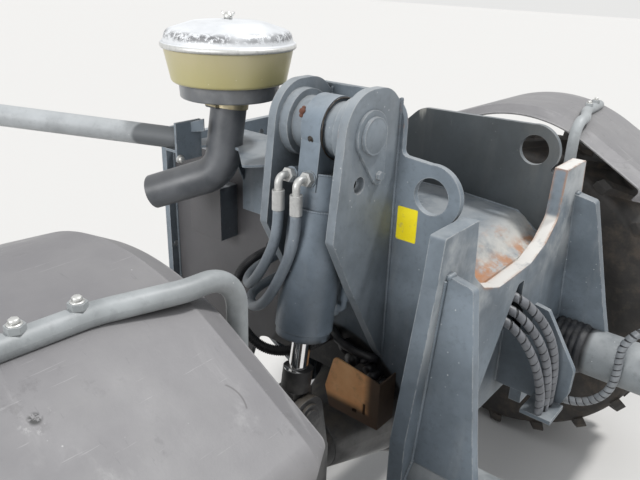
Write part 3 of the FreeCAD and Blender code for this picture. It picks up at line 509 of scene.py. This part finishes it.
def arch_plate_paint():
    """Right side plate: brownish painted shade towards the rear, black painted shade in the wheel arch, and
    a black painted shadow seen through the ear's hole.
    """
    f = paint("right_plate_paint", CHASSIS, worn=0.55, rust=0.5)
    old = f.base()
    outside = f.facing(Y, 0.3, -0.3)
    # black painted shade where the wheel arch's opening lies in shadow
    arch = f.times(f.near(at(-230, -PLATE_OUT, 690), 0.240, 0.252), outside)
    arch_void_shade = f.mix(f.band(f.noise(30, 6, 0.7), 0.45, 0.70), (0.010, 0.010, 0.011), (0.045, 0.040, 0.036))
    # brownish painted shade towards the rear
    rear_shade = f.times(f.span(X, -330, -420),
                    f.band(f.noise(6, 6, 0.65), 0.10, 0.42))
    rear_shade = f.times(rear_shade, outside)
    tone = f.mix(f.times(rear_shade, 0.85), old, (0.062, 0.054, 0.053))
    # black painted shadow seen through the ear's hole
    hole_shadow = f.times(f.near(at(-186, -PLATE_OUT, 1303), 0.045, 0.075), outside)
    tone = f.mix(f.times(hole_shadow, 0.85), tone, (0.014, 0.014, 0.014))
    f.colour(f.mix(arch, tone, arch_void_shade))
    return f


def arm_paint():
    """Pale arm, with painted shade on the stretch next to its bracket."""
    f = paint("arm_paint", (0.345, 0.360, 0.366), worn=0.3, rust=0.15)
    old = f.base()
    # painted shade next to the bracket
    f.colour(f.mix(f.span(X, -592, -584), old, (0.130, 0.138, 0.144)))
    return f


def label_film():
    """Blank yellow film, a little scuffed."""
    f = Finish("label_film", rough=0.35)
    tone = f.mix(f.band(f.noise(18, 5), 0.35, 0.7), (0.80, 0.65, 0.012), (0.88, 0.74, 0.025))
    scuff = f.times(f.band(f.noise(90, 5), 0.58, 0.70), 0.5)
    f.colour(f.mix(scuff, tone, (0.45, 0.40, 0.12)))
    return f


def home(node, x, y, z):
    """A place on the machine in the node's own coordinates."""
    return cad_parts[node].matrix_world.inverted() @ at(x, y, z)


FINISHES = {
    "chassis": paint("chassis_paint", CHASSIS, worn=0.55, rust=0.5),
    "ears": paint("ear_paint", (0.165, 0.190, 0.212), worn=0.5, rust=0.4),
    "rim": paint("rim_paint", (0.150, 0.172, 0.195), worn=0.4, rust=0.4, dust=0.4),
    "ram": ram_paint(home("level_barrel", 0, 0, 1004).z),
    "rod": rod_finish(home("level_rod", 0, 0, 926).z),
    "trough": trough_paint(),
    "front": front_paint(),
    "inner_side": left_plate_paint(),
    "stay": paint("stay_paint", (0.275, 0.290, 0.292), worn=0.3, rust=0.1, dust=0.3, hollow_dirt_and_shade=0.3),
    "arm": arm_paint(),
    "hose_painted": paint("painted_hose", (0.150, 0.175, 0.200), worn=0.1, rust=0.0, hollow_dirt_and_shade=0.3),
    "mudguard": mudguard_plastic(MUDGUARD_HOLE, MUDGUARD_MARKS),
    "right_side": arch_plate_paint(),
    "tube": tube_paint(),
    "bowl": bowl_plastic(at(0, 0, COLLAR_TOP).z),
    "dome": dome_finish(at(0, 0, DOME_FOOT).z),
    "elbow": elbow_rubber(at(*NECK_TOP), at(*NECK_LOW), CLAMP_BAND),
    "axle": axle_iron(),
    "primer": primer(),
    "tyre": tyre_rubber(),
    "fittings": fitting_zinc(home("level_fittings", -150, 0, 0).x),
    "bolt": steel("galvanised", (0.66, 0.66, 0.64), rough=0.38, metal=0.7, dirt=0.3),
    "rubber": rubber("hose_rubber", (0.018, 0.019, 0.022)),
    "wrap": rubber("spiral_wrap_plastic", (0.125, 0.130, 0.140), rough=0.40, dust=0.45),
    "pale_wrap": rubber("pale_wrap_plastic", (0.16, 0.17, 0.18), rough=0.40, dust=0.5),
    "rust": rubber("rust_lump", (0.115, 0.045, 0.028), rough=0.8, dust=0.2),
    "loom": rubber("loom_plastic", (0.014, 0.014, 0.016), rough=0.42, dust=0.1),
    "grease": rubber("old_grease", (0.020, 0.014, 0.009), rough=0.30, dust=0.0, ribs=0.3),
    "label": label_film(),
}
MATERIALS = {look: finish.material for look, finish in FINISHES.items()}

NODES_OF = {
    "right_side": ["side_plate_right", "side_box"],
    "tube": ["stabiliser_tubes"],
    "chassis": ["front_crossmember", "gussets", "rear_bulkhead", "axle_hangers", "intake_bracket"],
    "ears": ["level_ear_front", "level_ear_rear", "level_pin"],
    "inner_side": ["side_plate_left"],
    "ram": ["level_barrel"],
    "front": ["front_plate"],
    "trough": ["trough_floor"],
    "primer": ["hose_guard"],
    "arm": ["arm_tube"],
    "elbow": ["intake_elbow"],
    "bowl": ["precleaner_bowl"],
    "dome": ["precleaner_dome"],
    "fittings": ["level_fittings"],
    "rod": ["level_rod"],
    "axle": ["axle_housing", "level_lower_pin", "steering_barrel", "steering_rod", "knuckle_left",
             "knuckle_right", "hub_left", "hub_right"],
    "stay": ["mudguard_tube_left", "mudguard_tube_right"],
    "mudguard": ["mudguard_left", "mudguard_right"],
    "rim": ["rim_left", "rim_right"],
    "tyre": ["tyre_left", "tyre_right"],
}
for look, nodes in NODES_OF.items():
    for node in nodes:
        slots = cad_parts[node].data.materials
        slots.clear()
        slots.append(MATERIALS[look])


# Meshes
def piece(name, vertices, faces, material, body, smooth=True):
    mesh = bpy.data.meshes.new(name)
    mesh.from_pydata([tuple(v) for v in vertices], [], faces)
    mesh.validate()
    mesh.polygons.foreach_set("use_smooth", [smooth] * len(mesh.polygons))
    mesh.materials.append(MATERIALS[material])
    made = bpy.data.objects.new(name, mesh)
    bpy.context.scene.collection.objects.link(made)
    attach(made, body)
    return made


def turns(count, start=0.0):
    """Angles evenly round a circle."""
    return [start + 2 * math.pi * k / count for k in range(count)]


def ring(centre, u, v, radius, sides, start=0.0, flat=1.0):
    """Points on a circle of radius metres. flat squashes it along v."""
    return [centre + u * radius * math.cos(t) + v * radius * flat * math.sin(t) for t in turns(sides, start)]


class Mesh:
    """Vertices and faces gathered from several forms, in metres."""

    def __init__(self):
        self.vertices = []
        self.faces = []

    def skin(self, rings):
        """A closed form over a row of rings of equal length."""
        first = len(self.vertices)
        n = len(rings[0])
        last = first + (len(rings) - 1) * n
        for points in rings:
            self.vertices.extend(points)
        for a in range(first, last, n):
            b = a + n
            for k in range(n):
                m = (k + 1) % n
                self.faces.append((a + k, a + m, b + m, b + k))
        self.faces.append(tuple(first + k for k in reversed(range(n))))
        self.faces.append(tuple(last + k for k in range(n)))

    def lathe(self, profile, origin, axis, sides=32):
        """Turns (radius, height) points in mm about axis through origin."""
        u, v, w = basis(axis)
        self.skin([ring(origin + w * height * MM, u, v, max(radius, 0.01) * MM, sides)
                   for radius, height in profile])

    def hexagon(self, origin, axis, flats, height, spin=0.0):
        """Hexagon head or nut, flats mm wide, with a turned top edge."""
        chamfer = 1.2
        u, v, w = basis(axis)
        corner = flats / 2 / math.cos(math.pi / 6)
        profile = ((corner, 0.0), (corner, height - chamfer), (flats / 2 * 0.94, height))
        self.skin([ring(origin + w * h * MM, u, v, radius * MM, 6, spin) for radius, h in profile])

    def tube(self, points, radius, sides=10, scallop=0.0, pitch=4.0, flat=1.0):
        """Round skin along points. scallop swells it once every pitch mm, as a weld's ripples do."""
        frames = transported(points)
        run = 0.0
        rings = []
        for i, p in enumerate(points):
            if i:
                run += (points[i] - points[i - 1]).length / MM
            swell = 1.0 + scallop * (abs(math.sin(math.pi * run / pitch)) - 0.5)
            end = 0.35 if i in (0, len(points) - 1) and scallop else 1.0
            rings.append(ring(p, *frames[i], radius * MM * swell * end, sides, flat=flat))
        self.skin(rings)

    def make(self, name, material, body, smooth=True):
        return piece(name, self.vertices, self.faces, material, body, smooth)


def basis(axis):
    w = Vector(axis).normalized()
    side = Z_AXIS if abs(w.z) < 0.9 else X_AXIS
    u = side.cross(w).normalized()
    return u, w.cross(u), w


def transported(points):
    """Side vectors along a line that turn as little as they can."""
    found = []
    u = None
    for i in range(len(points)):
        ahead = points[min(i + 1, len(points) - 1)] - points[max(i - 1, 0)]
        w = ahead.normalized()
        if u is None:
            u = basis(w)[0]
        u = (u - w * u.dot(w)).normalized()
        found.append((u, w.cross(u)))
    return found


def spaced(points, step):
    """The line through points, cut every step mm."""
    made = [points[0]]
    for a, b in zip(points, points[1:]):
        n = max(1, round((b - a).length / MM / step))
        made.extend(a.lerp(b, (k + 1) / n) for k in range(n))
    return made


def circle(centre, axis, radius, step=3.0):
    """A closed line round an axis, radius and step in mm."""
    u, v, _ = basis(axis)
    points = ring(centre, u, v, radius * MM, max(12, round(2 * math.pi * radius / step)))
    return points + points[:1]


# Hoses
DOWN_RAM = (Vector(FOOT) - Vector(PIN)).normalized()


def ram_point(along, across, dx=0.0):
    """A place in mm, along the ram from its pin, across it and towards the front."""
    side = Vector((0, DOWN_RAM.z, -DOWN_RAM.y))
    return Vector(PIN) + DOWN_RAM * along + side * across + X_AXIS * dx


SLEEVE_END = 1295.7  # lower end of the ram's hose sleeves
BEHIND = -255.0  # just inside the right side plate
FACE = -PLATE_OUT - 0.3  # hoses start 0.3 mm clear of what they enter
TAB = PANEL_X + 0.3
REAR = ram_point(104, 98, -40.0)
FRONT = ram_point(104, 98, 8.0)
# control points of each route in mm, as they run in the model
ROUTES = {
    "level_hose_rear": [(REAR.x, REAR.y, SLEEVE_END), (REAR.x, REAR.y, 1240), (-256, -504, 1160),
                        (-312, -492, 1092), (-372, -440, 1078), (-400, -360, 1080),
                        (HOSE_HOLES[0][0], BEHIND, HOSE_HOLES[0][1])],
    "level_hose_front": [(FRONT.x, FRONT.y, SLEEVE_END), (FRONT.x, FRONT.y, 1240), (-208, -504, 1150),
                         (-258, -500, 1070), (-322, -478, 1030), (-374, -428, 1028), (-394, -352, 1026),
                         (HOSE_HOLES[1][0], BEHIND, HOSE_HOLES[1][1])],
    "loom_hose": [(-448, FACE, 1072), (-448, -352, 1072), (-430, -424, 1045), (-408, -456, 990),
                  (-376, -446, 930), (-330, -430, 893), (-278, -400, 892), (-236, -352, 906),
                  (-236, FACE, 906)],
    "front_hose_1": [(TAB, 36, 1012), (90, 36, 1012), (138, 60, 976), (170, 92, 920), (188, 122, 850),
                     (194, 140, 775), (192, 150, 715), (192, 150, CLAMP_Z + 0.3)],
    "front_hose_2": [(TAB, 18, 984), (86, 18, 984), (134, 38, 948), (166, 68, 890), (184, 96, 822),
                     (190, 112, 755), (190, 124, 705), (190, 124, CLAMP_Z + 0.3)],
    "front_hose_3": [(TAB, 0, 958), (80, 0, 958), (124, 16, 926), (154, 44, 868), (174, 70, 800),
                     (184, 86, 738), (185, 98, 700), (185, 98, CLAMP_Z + 0.3)],
    "side_hose": [(404, TUBE_Y, TUBE_Z + 84.3), (404, TUBE_Y, 868), (356, 312, 896), (313, 299, 845),
                  (312, 298, 785), (314, 297, 725), (300, 290, 672), (258, 279, 632), (200, *SIDE_PORT[1:]),
                  (FRONT_X + 14.3, *SIDE_PORT[1:])],
}
# each hose's radius, material and body
HOSES = {
    "level_hose_rear": (11.5, "hose_painted", "ram_barrel"),
    "level_hose_front": (11.5, "hose_painted", "ram_barrel"),
    "loom_hose": (13.0, "loom", "frame"),
    "front_hose_1": (12.0, "rubber", "frame"),
    "front_hose_2": (12.0, "rubber", "frame"),
    "front_hose_3": (12.0, "rubber", "frame"),
    "side_hose": (12.0, "rubber", "frame"),
}
# pitch, width and plastic of the strip wound round a hose
WRAPS = {"front_hose_1": (25.0, 22.6, "wrap"), "front_hose_2": (27.0, 24.4, "wrap"),
         "front_hose_3": (26.0, 23.4, "wrap"), "side_hose": (19.0, 16.0, "pale_wrap")}
WRAP_THICK = 1.8


def route_curve(name):
    """The hose's centre line as one smooth curve."""
    curve = bpy.data.curves.new(name, "CURVE")
    curve.dimensions = "3D"
    curve.resolution_u = 24
    spline = curve.splines.new("NURBS")
    points = ROUTES[name]
    spline.points.add(len(points) - 1)
    for point, p in zip(spline.points, points):
        point.co = (*at(*p), 1.0)
    spline.order_u = 3
    spline.use_endpoint_u = True
    made = bpy.data.objects.new(name + "_line", curve)
    bpy.context.scene.collection.objects.link(made)
    return made


def line_points(curve_object):
    mesh = bpy.data.meshes.new_from_object(curve_object)
    points = [v.co.copy() for v in mesh.vertices]
    bpy.data.meshes.remove(mesh)
    return points


def length_of(points):
    return sum((b - a).length for a, b in zip(points, points[1:]))


def even(points, step):
    """Points every step mm along a fine line."""
    total = length_of(points)
    n = max(2, round(total / MM / step))
    made = [points[0]]
    run = 0.0
    k = 1
    for a, b in zip(points, points[1:]):
        part = (b - a).length
        while k < n and run + part >= total * k / n:
            made.append(a.lerp(b, (total * k / n - run) / part))
            k += 1
        run += part
    made.append(points[-1])
    return made


def spiral_wrap(mesh, points, radius, pitch, width):
    """A flat strip wound round the hose, with a narrow gap between its turns."""
    step = pitch / 20
    line = even(points, step)
    frames = transported(line)
    section = [(-0.5, 0.0), (-0.47, 0.85), (-0.36, 1.0), (0.36, 1.0), (0.47, 0.85), (0.5, 0.0)]
    rings = []
    for i, p in enumerate(line):
        angle = 2 * math.pi * i * step / pitch
        u, v = frames[i]
        out = u * math.cos(angle) + v * math.sin(angle)
        w = u.cross(v)
        rings.append([p + w * s * width * MM + out * (radius + h * WRAP_THICK) * MM for s, h in section])
    mesh.skin(rings)


def corrugated(mesh, points, radius):
    """A ribbed tube, its grooves 1.8 mm deep and 5 mm apart."""
    line = even(points, 5.0 / 4)
    frames = transported(line)
    mesh.skin([ring(p, *frames[i], (radius - (1.8 if i % 4 in (2, 3) else 0.0)) * MM, 18)
               for i, p in enumerate(line)])


def hose(name, radius, material, body):
    """Makes the hose's piece, and its wrap where it has one. Gives its centre line."""
    line = route_curve(name)
    fine = line_points(line)
    bpy.data.objects.remove(line)
    skin = Mesh()
    if name in WRAPS:
        skin.tube(even(fine, 6), radius - WRAP_THICK, sides=16)
    elif material == "loom":
        corrugated(skin, fine, radius)
    else:
        skin.tube(even(fine, 6), radius, sides=20)
    made = skin.make(name + "_skin", material, body)
    if name in WRAPS:
        pitch, width, plastic = WRAPS[name]
        strip = Mesh()
        spiral_wrap(strip, fine[2:-2], radius - WRAP_THICK, pitch, width)
        strip.make(name + "_wrap", plastic, body)
    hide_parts(name)
    return fine


LINES = {name: hose(name, *made_of) for name, made_of in HOSES.items()}


# Weld beads
def weld(mesh, points, radius):
    mesh.tube(spaced(points, 1.6), radius, sides=7, scallop=0.34, pitch=5.2, flat=0.8)


def upright_weld(mesh, x, y, start, end, radius):
    weld(mesh, [at(x, y, start), at(x, y, end)], radius)


# x and z along the trough floor's edge, and x of the axle hangers' edges
TROUGH_LINE = [(-820, 1160), (-189, 1160), (-20, 1149), (38, 1106), (62, 1092)]
HANGER_EDGES = (-45, -20, -480, -455)
beads = Mesh()
for x in (EAR_FRONT_X, EAR_FRONT_X - EAR_T, EAR_REAR_X, EAR_REAR_X + EAR_T):
    upright_weld(beads, x, -PLATE_OUT, 905, 1516, 5.0)
for side in (1, -1):
    upright_weld(beads, FRONT_BACK, side * PLATE_OUT, 806, 1258, 5.5)
    for face in (GUSSET_Y - GUSSET_HALF, GUSSET_Y + GUSSET_HALF):
        weld(beads, [at(FRONT_X, side * face, GUSSET_TOP),
                     at(FRONT_X, side * (face + GUSSET_LEAN * 400), 794)], 5.5)
    weld(beads, [at(x, side * PLATE_IN, z) for x, z in TROUGH_LINE], 4.0)
    weld(beads, circle(at(FRONT_X + 1, side * TUBE_Y, TUBE_Z), X_AXIS, 71), 5.0)
    weld(beads, [at(FRONT_X + 3, side * y, GUSSET_TOP + 6) for y in (GUSSET_Y - 14, GUSSET_Y + 12)], 7.0)
    for x in HANGER_EDGES:
        upright_weld(beads, x, side * PLATE_IN, 802, 896, 4.5)
    upright_weld(beads, REAR_X, side * PLATE_OUT, 625, 1286, 5.0)
upright_weld(beads, FRONT_X, 192, 926, 665, 4.0)
upright_weld(beads, PANEL_X, 175, 828, 655, 4.0)
beads.make("chassis_weld_beads", "chassis", "frame")

ram_beads = Mesh()
for along, radius in ((168, 62), (92, 56)):
    weld(ram_beads, circle(at(*ram_point(along, 0)), DOWN_RAM, radius), 3.5)
ram_beads.make("ram_weld_beads", "ram", "ram_barrel")


# Fasteners and fittings
def bolt(mesh, centre, axis, flats, height, washer=True, spin=0.2):
    """A head flats mm wide, standing on centre. axis has length 1."""
    if washer:
        mesh.lathe([(0, 0), (flats * 0.78, 0), (flats * 0.78, 2.0), (0, 2.2)], centre, axis, 28)
        centre = centre + axis * 2.0 * MM
    mesh.hexagon(centre, axis, flats, height, spin)


def nipple(mesh, centre, axis):
    mesh.hexagon(centre, axis, 9, 4)
    mesh.lathe([(0, 4), (3.2, 4), (2.2, 9), (3.4, 11), (3.4, 13), (2.0, 15), (0, 15)], centre, axis, 16)


STAY_BOLTS = [(-111, 1010), (-115, 1095)]
STAY_TOP = 1331.5
KING_CAP = 156  # from the axle's centre line to the kingpin caps' seats
HUB_FACE_Y = 1099
HUB_RING = 98
PLUG_Y = 1118
VALVE = (283, 1096)  # distance from the wheel's axis, and y
RIM_WELD = 260
HOUSING_FACE = 134
HOUSING_RING = 86

for side, word in ((1, "left"), (-1, "right")):
    out = Y_AXIS * side
    stay_bolts = Mesh()
    for k, (x, y) in enumerate(STAY_BOLTS):
        bolt(stay_bolts, at(x, side * y, STAY_TOP), Z_AXIS, 13, 7, spin=0.5 + k)
    stay_bolts.make("stay_bolts_" + word, "bolt", "knuckle_" + word)

    king = Mesh()
    for way in (1, -1):
        up = Z_AXIS * way
        centre = at(AXLE_X, side * KING_Y, AXLE_Z + KING_CAP * way)
        king.lathe([(0, 0), (52, 0), (52, 8), (46, 12), (0, 12)], centre, up, 40)
        for k, t in enumerate(turns(4, math.pi / 4)):
            spot = centre + Vector((37 * math.cos(t), 37 * math.sin(t), 10 * way)) * MM
            bolt(king, spot, up, 17, 9, spin=k)
        nipple(king, centre + up * 12 * MM, up)
    king.make("kingpin_caps_" + word, "axle", "axle")

    face = Mesh()
    for k, t in enumerate(turns(8, 0.2)):
        spot = at(AXLE_X + HUB_RING * math.cos(t), side * HUB_FACE_Y, AXLE_Z + HUB_RING * math.sin(t))
        bolt(face, spot, out, 17, 9, spin=k * 0.7)
    bolt(face, at(AXLE_X + 45, side * PLUG_Y, AXLE_Z + 20), out, 22, 7)
    face.make("hub_face_bolts_" + word, "bolt", "wheel_" + word)

    valve = Mesh()
    valve.lathe([(0, 0), (7, 0), (6, 8), (4, 12), (4, 34), (5, 35), (5, 44), (0, 45)],
                at(AXLE_X + VALVE[0], side * VALVE[1], AXLE_Z), out, 16)
    valve.make("tyre_valve_" + word, "rubber", "wheel_" + word)

    rim_beads = Mesh()
    weld(rim_beads, circle(at(AXLE_X, side * (DISC_Y - 33), AXLE_Z), Y_AXIS, RIM_WELD, step=4), 4.0)
    rim_beads.make("rim_weld_" + word, "chassis", "wheel_" + word)

housing = Mesh()
for side in (1, -1):
    for k, t in enumerate(turns(10)):
        spot = at(AXLE_X + side * HOUSING_FACE, HOUSING_RING * math.cos(t),
                  AXLE_Z + HOUSING_RING * math.sin(t))
        bolt(housing, spot, X_AXIS * side, 17, 10, washer=False, spin=k)
housing.make("housing_bolts", "axle", "axle")

pin_end = Mesh()
pin_end.lathe([(37.2, -6), (36, -2.5), (32, 0), (0, 0)], at(EAR_FRONT_X + 14.6, PIN[1], PIN[2]), X_AXIS, 48)
pin_end.make("pin_end_face", "ears", "frame")

# grease in the crevice by the ram's front boss, a dirty hole in the eye strap, rust on the rear boss
lumps = Mesh()
crevice = circle(at(RAM_X + 26.3, PIN[1], PIN[2]), X_AXIS, 62.5, step=2.0)
lumps.tube([p + noise.noise_vector(p * 90) * 0.0016 for p in crevice], 1.9, sides=8)
hole_way = Vector((0, -0.975, -0.222))
lumps.lathe([(0, -1), (7.5, -1), (7.0, 1.1), (5.0, 0.4), (3.4, 1.7), (0, 2.4)],
            at(*PIN) + hole_way * 0.0655, hole_way, 20)
lumps.make("grease_lumps", "grease", "ram_barrel")
rust = Mesh()
for y, z, size in ((-431, 1491, 1.0), (-434, 1483, 0.7), (-427, 1497, 0.6)):
    blob = [(r * size, h * size) for r, h in ((0, -6), (4, -5), (6.5, -2), (7, 1), (5, 4.5), (0, 6))]
    rust.lathe(blob, at(-217, y, z), Vector((0.2, -0.8, 0.6)), 14)
rust.make("rust_lump", "rust", "ram_barrel")

# black fittings and a pipe on the plate inside the wheel arch, below the ram
arch = Mesh()
for x, z, r, deep in ((-186, 893, 17, 22), (-160, 872, 19, 26), (-96, 852, 12, 30), (-128, 880, 10, 18)):
    arch.lathe([(0, 0), (r, 0), (r, deep), (r * 0.82, deep + 3), (r * 0.45, deep + 3), (r * 0.4, deep + 8),
                (0, deep + 8)], at(x, -PLATE_OUT, z), -Y_AXIS, 24)
for x, z in ((-112, 862), (-74, 836)):
    arch.hexagon(at(x, -PLATE_OUT, z), -Y_AXIS, 22, 26)
PIPE = [(-226, -288, 930), (-204, -296, 912), (-176, -300, 906), (-146, -296, 900), (-118, -286, 893),
        (-100, -274, 889)]
arch.tube([at(*p) for p in PIPE], 11, sides=14)
arch.make("arch_fittings", "loom", "frame")

# bolt on the intake arm's pad
pad = Mesh()
bolt(pad, at(-502, -514, 1351), X_AXIS, 13, 7)
pad.make("pad_bolt", "bolt", "frame")

# black rubber sleeve on the left stabiliser tube, by the front plate
sleeve = Mesh()
ribs = [(70.5, 8), (74, 10)]
for k in range(5):
    ribs += [(78, 14 + 18 * k), (78, 22 + 18 * k), (74, 26 + 18 * k), (74, 28 + 18 * k)]
sleeve.lathe(ribs + [(70.5, 104)], at(FRONT_X, TUBE_Y, TUBE_Z), X_AXIS, 40)
sleeve.make("tube_sleeve", "rubber", "frame")

# wing nut and stud on the pre-cleaner
wing = Mesh()
cap = at(*INTAKE, DOME_TOP)
wing.lathe([(0, 0), (9.3, 0), (9.3, 10.2), (7, 10.6), (6, 14), (0, 15)], cap, Z_AXIS, 24)
for side in (1, -1):
    ear_line = [cap + Vector((side * a * MM, 0, h * MM)) for a, h in ((7, 5), (12, 7), (17, 11), (19, 15))]
    wing.tube(ear_line, 3.2, sides=10, flat=0.5)
wing.make("wing_nut", "bolt", "frame")

# bright bead that holds the dome on the bowl
bead = Mesh()
bead.lathe([(142, 1588), (146, 1586.5), (148.5, 1589), (149, 1593), (147.5, 1597), (144, 1598.5)],
           at(*INTAKE, 0), Z_AXIS, 96)
bead.make("precleaner_bead", "bolt", "frame")


def rounded_plate(mesh, corners, normal, thick, radius=4.0):
    """Thin plate on corner points in mm, its corners cut round."""
    n = len(corners)
    outline = []
    for i in range(n):
        p = Vector(corners[i])
        a = (Vector(corners[i - 1]) - p).normalized()
        b = (Vector(corners[(i + 1) % n]) - p).normalized()
        for k in range(6):
            t = k / 5
            outline.append(p + a * radius * (1 - t) ** 2 + b * radius * t ** 2)
    lift = Vector(normal) * thick
    mesh.skin([[at(*q) for q in outline], [at(*(q + lift)) for q in outline]])


# blank yellow label on the right side plate
LABEL = [(-77, 1211), (-27, 1211), (-27, 1287), (-77, 1287)]
sticker = Mesh()
rounded_plate(sticker, [(x, -PLATE_OUT, z) for x, z in LABEL], (0, -1, 0), 0.5)
sticker.make("blank_label", "label", "frame", smooth=False)

# rubber grommets where the loom hose goes through the side plate
grommets = Mesh()
for x, z in LOOM_ENDS:
    grommets.lathe([(13, 0), (22, 0), (21, 4), (15, 6), (13, 5)], at(x, -PLATE_OUT, z), -Y_AXIS, 28)
grommets.make("hose_grommets", "rubber", "frame")

# cable tie round the levelling ram's front hose
tied = LINES["level_hose_front"]
tie = Mesh()
tie.lathe([(11.6, -3), (13.2, -3), (13.2, 3), (11.6, 3)], tied[len(tied) * 5 // 8], (0.55, -0.3, 0.8), 24)
tie.make("cable_tie", "loom", "ram_barrel")


# Studio
FLOOR_Z = -1.5  # just below the tyres
FLOOR_HALF = 30.0  # metres
FLOOR_COLOUR = (0.60, 0.585, 0.56)
SKY = (0.86, 0.90, 0.96, 1)
SKY_STRENGTH = 0.66
BACKDROP = (0.90, 0.90, 0.89, 1)
BACKDROP_STRENGTH = 0.9
# the camera, fitted to the chassis plates' edges and holes
LENS = 36.8
EYE = (626.18, -1410.10, 1760.0)
VIEW_RIGHT = Vector((0.77064, 0.63657, 0.02992))
VIEW_UP = Vector((-0.26896, 0.28232, 0.92085))
VIEW_AHEAD = Vector((-0.57773, 0.71769, -0.38877))


def floor():
    pale = Finish("floor_pale", rough=0.9)
    pale.colour(FLOOR_COLOUR)
    z = at(0, 0, FLOOR_Z).z
    corners = [(x * FLOOR_HALF, y * FLOOR_HALF, z) for x, y in ((-1, -1), (1, -1), (1, 1), (-1, 1))]
    mesh = bpy.data.meshes.new("studio_floor")
    mesh.from_pydata(corners, [], [(0, 1, 2, 3)])
    mesh.materials.append(pale.material)
    made = bpy.data.objects.new("studio_floor", mesh)
    bpy.context.scene.collection.objects.link(made)


def world_light():
    """A soft sky for the object, and a pale backdrop for the camera and for reflections."""
    world = bpy.data.worlds.new("studio_world")
    bpy.context.scene.world = world
    world.use_nodes = True
    nodes = world.node_tree.nodes
    links = world.node_tree.links
    light = nodes["Background"]
    light.inputs["Color"].default_value = SKY
    light.inputs["Strength"].default_value = SKY_STRENGTH
    seen = nodes.new("ShaderNodeBackground")
    seen.inputs["Color"].default_value = BACKDROP
    seen.inputs["Strength"].default_value = BACKDROP_STRENGTH
    path = nodes.new("ShaderNodeLightPath")
    direct = nodes.new("ShaderNodeMath")
    direct.operation = "MAXIMUM"
    links.new(path.outputs["Is Camera Ray"], direct.inputs[0])
    links.new(path.outputs["Is Glossy Ray"], direct.inputs[1])
    chosen = nodes.new("ShaderNodeMixShader")
    links.new(direct.outputs[0], chosen.inputs[0])
    links.new(light.outputs[0], chosen.inputs[1])
    links.new(seen.outputs[0], chosen.inputs[2])
    links.new(chosen.outputs[0], nodes["World Output"].inputs["Surface"])


def sun_light(name, direction, strength, angle):
    data = bpy.data.lights.new(name, "SUN")
    data.energy = strength
    data.angle = math.radians(angle)
    made = bpy.data.objects.new(name, data)
    made.rotation_euler = Vector(direction).to_track_quat("-Z", "Y").to_euler()
    bpy.context.scene.collection.objects.link(made)


def camera():
    data = bpy.data.cameras.new("photo_camera")
    data.sensor_width = 36.0
    data.lens = LENS
    data.clip_start = 0.05
    made = bpy.data.objects.new("photo_camera", data)
    turn = Matrix((VIEW_RIGHT, VIEW_UP, -VIEW_AHEAD)).transposed()
    made.matrix_world = Matrix.Translation(at(*EYE)) @ turn.to_4x4()
    bpy.context.scene.collection.objects.link(made)
    bpy.context.scene.camera = made


floor()
world_light()
sun_light("soft_sun", (-0.30, -0.38, -1.0), 2.3, 7)
sun_light("side_fill", (0.02, 1.0, -0.36), 2.2, 30)
camera()
bpy.context.scene.view_settings.view_transform = "Standard"
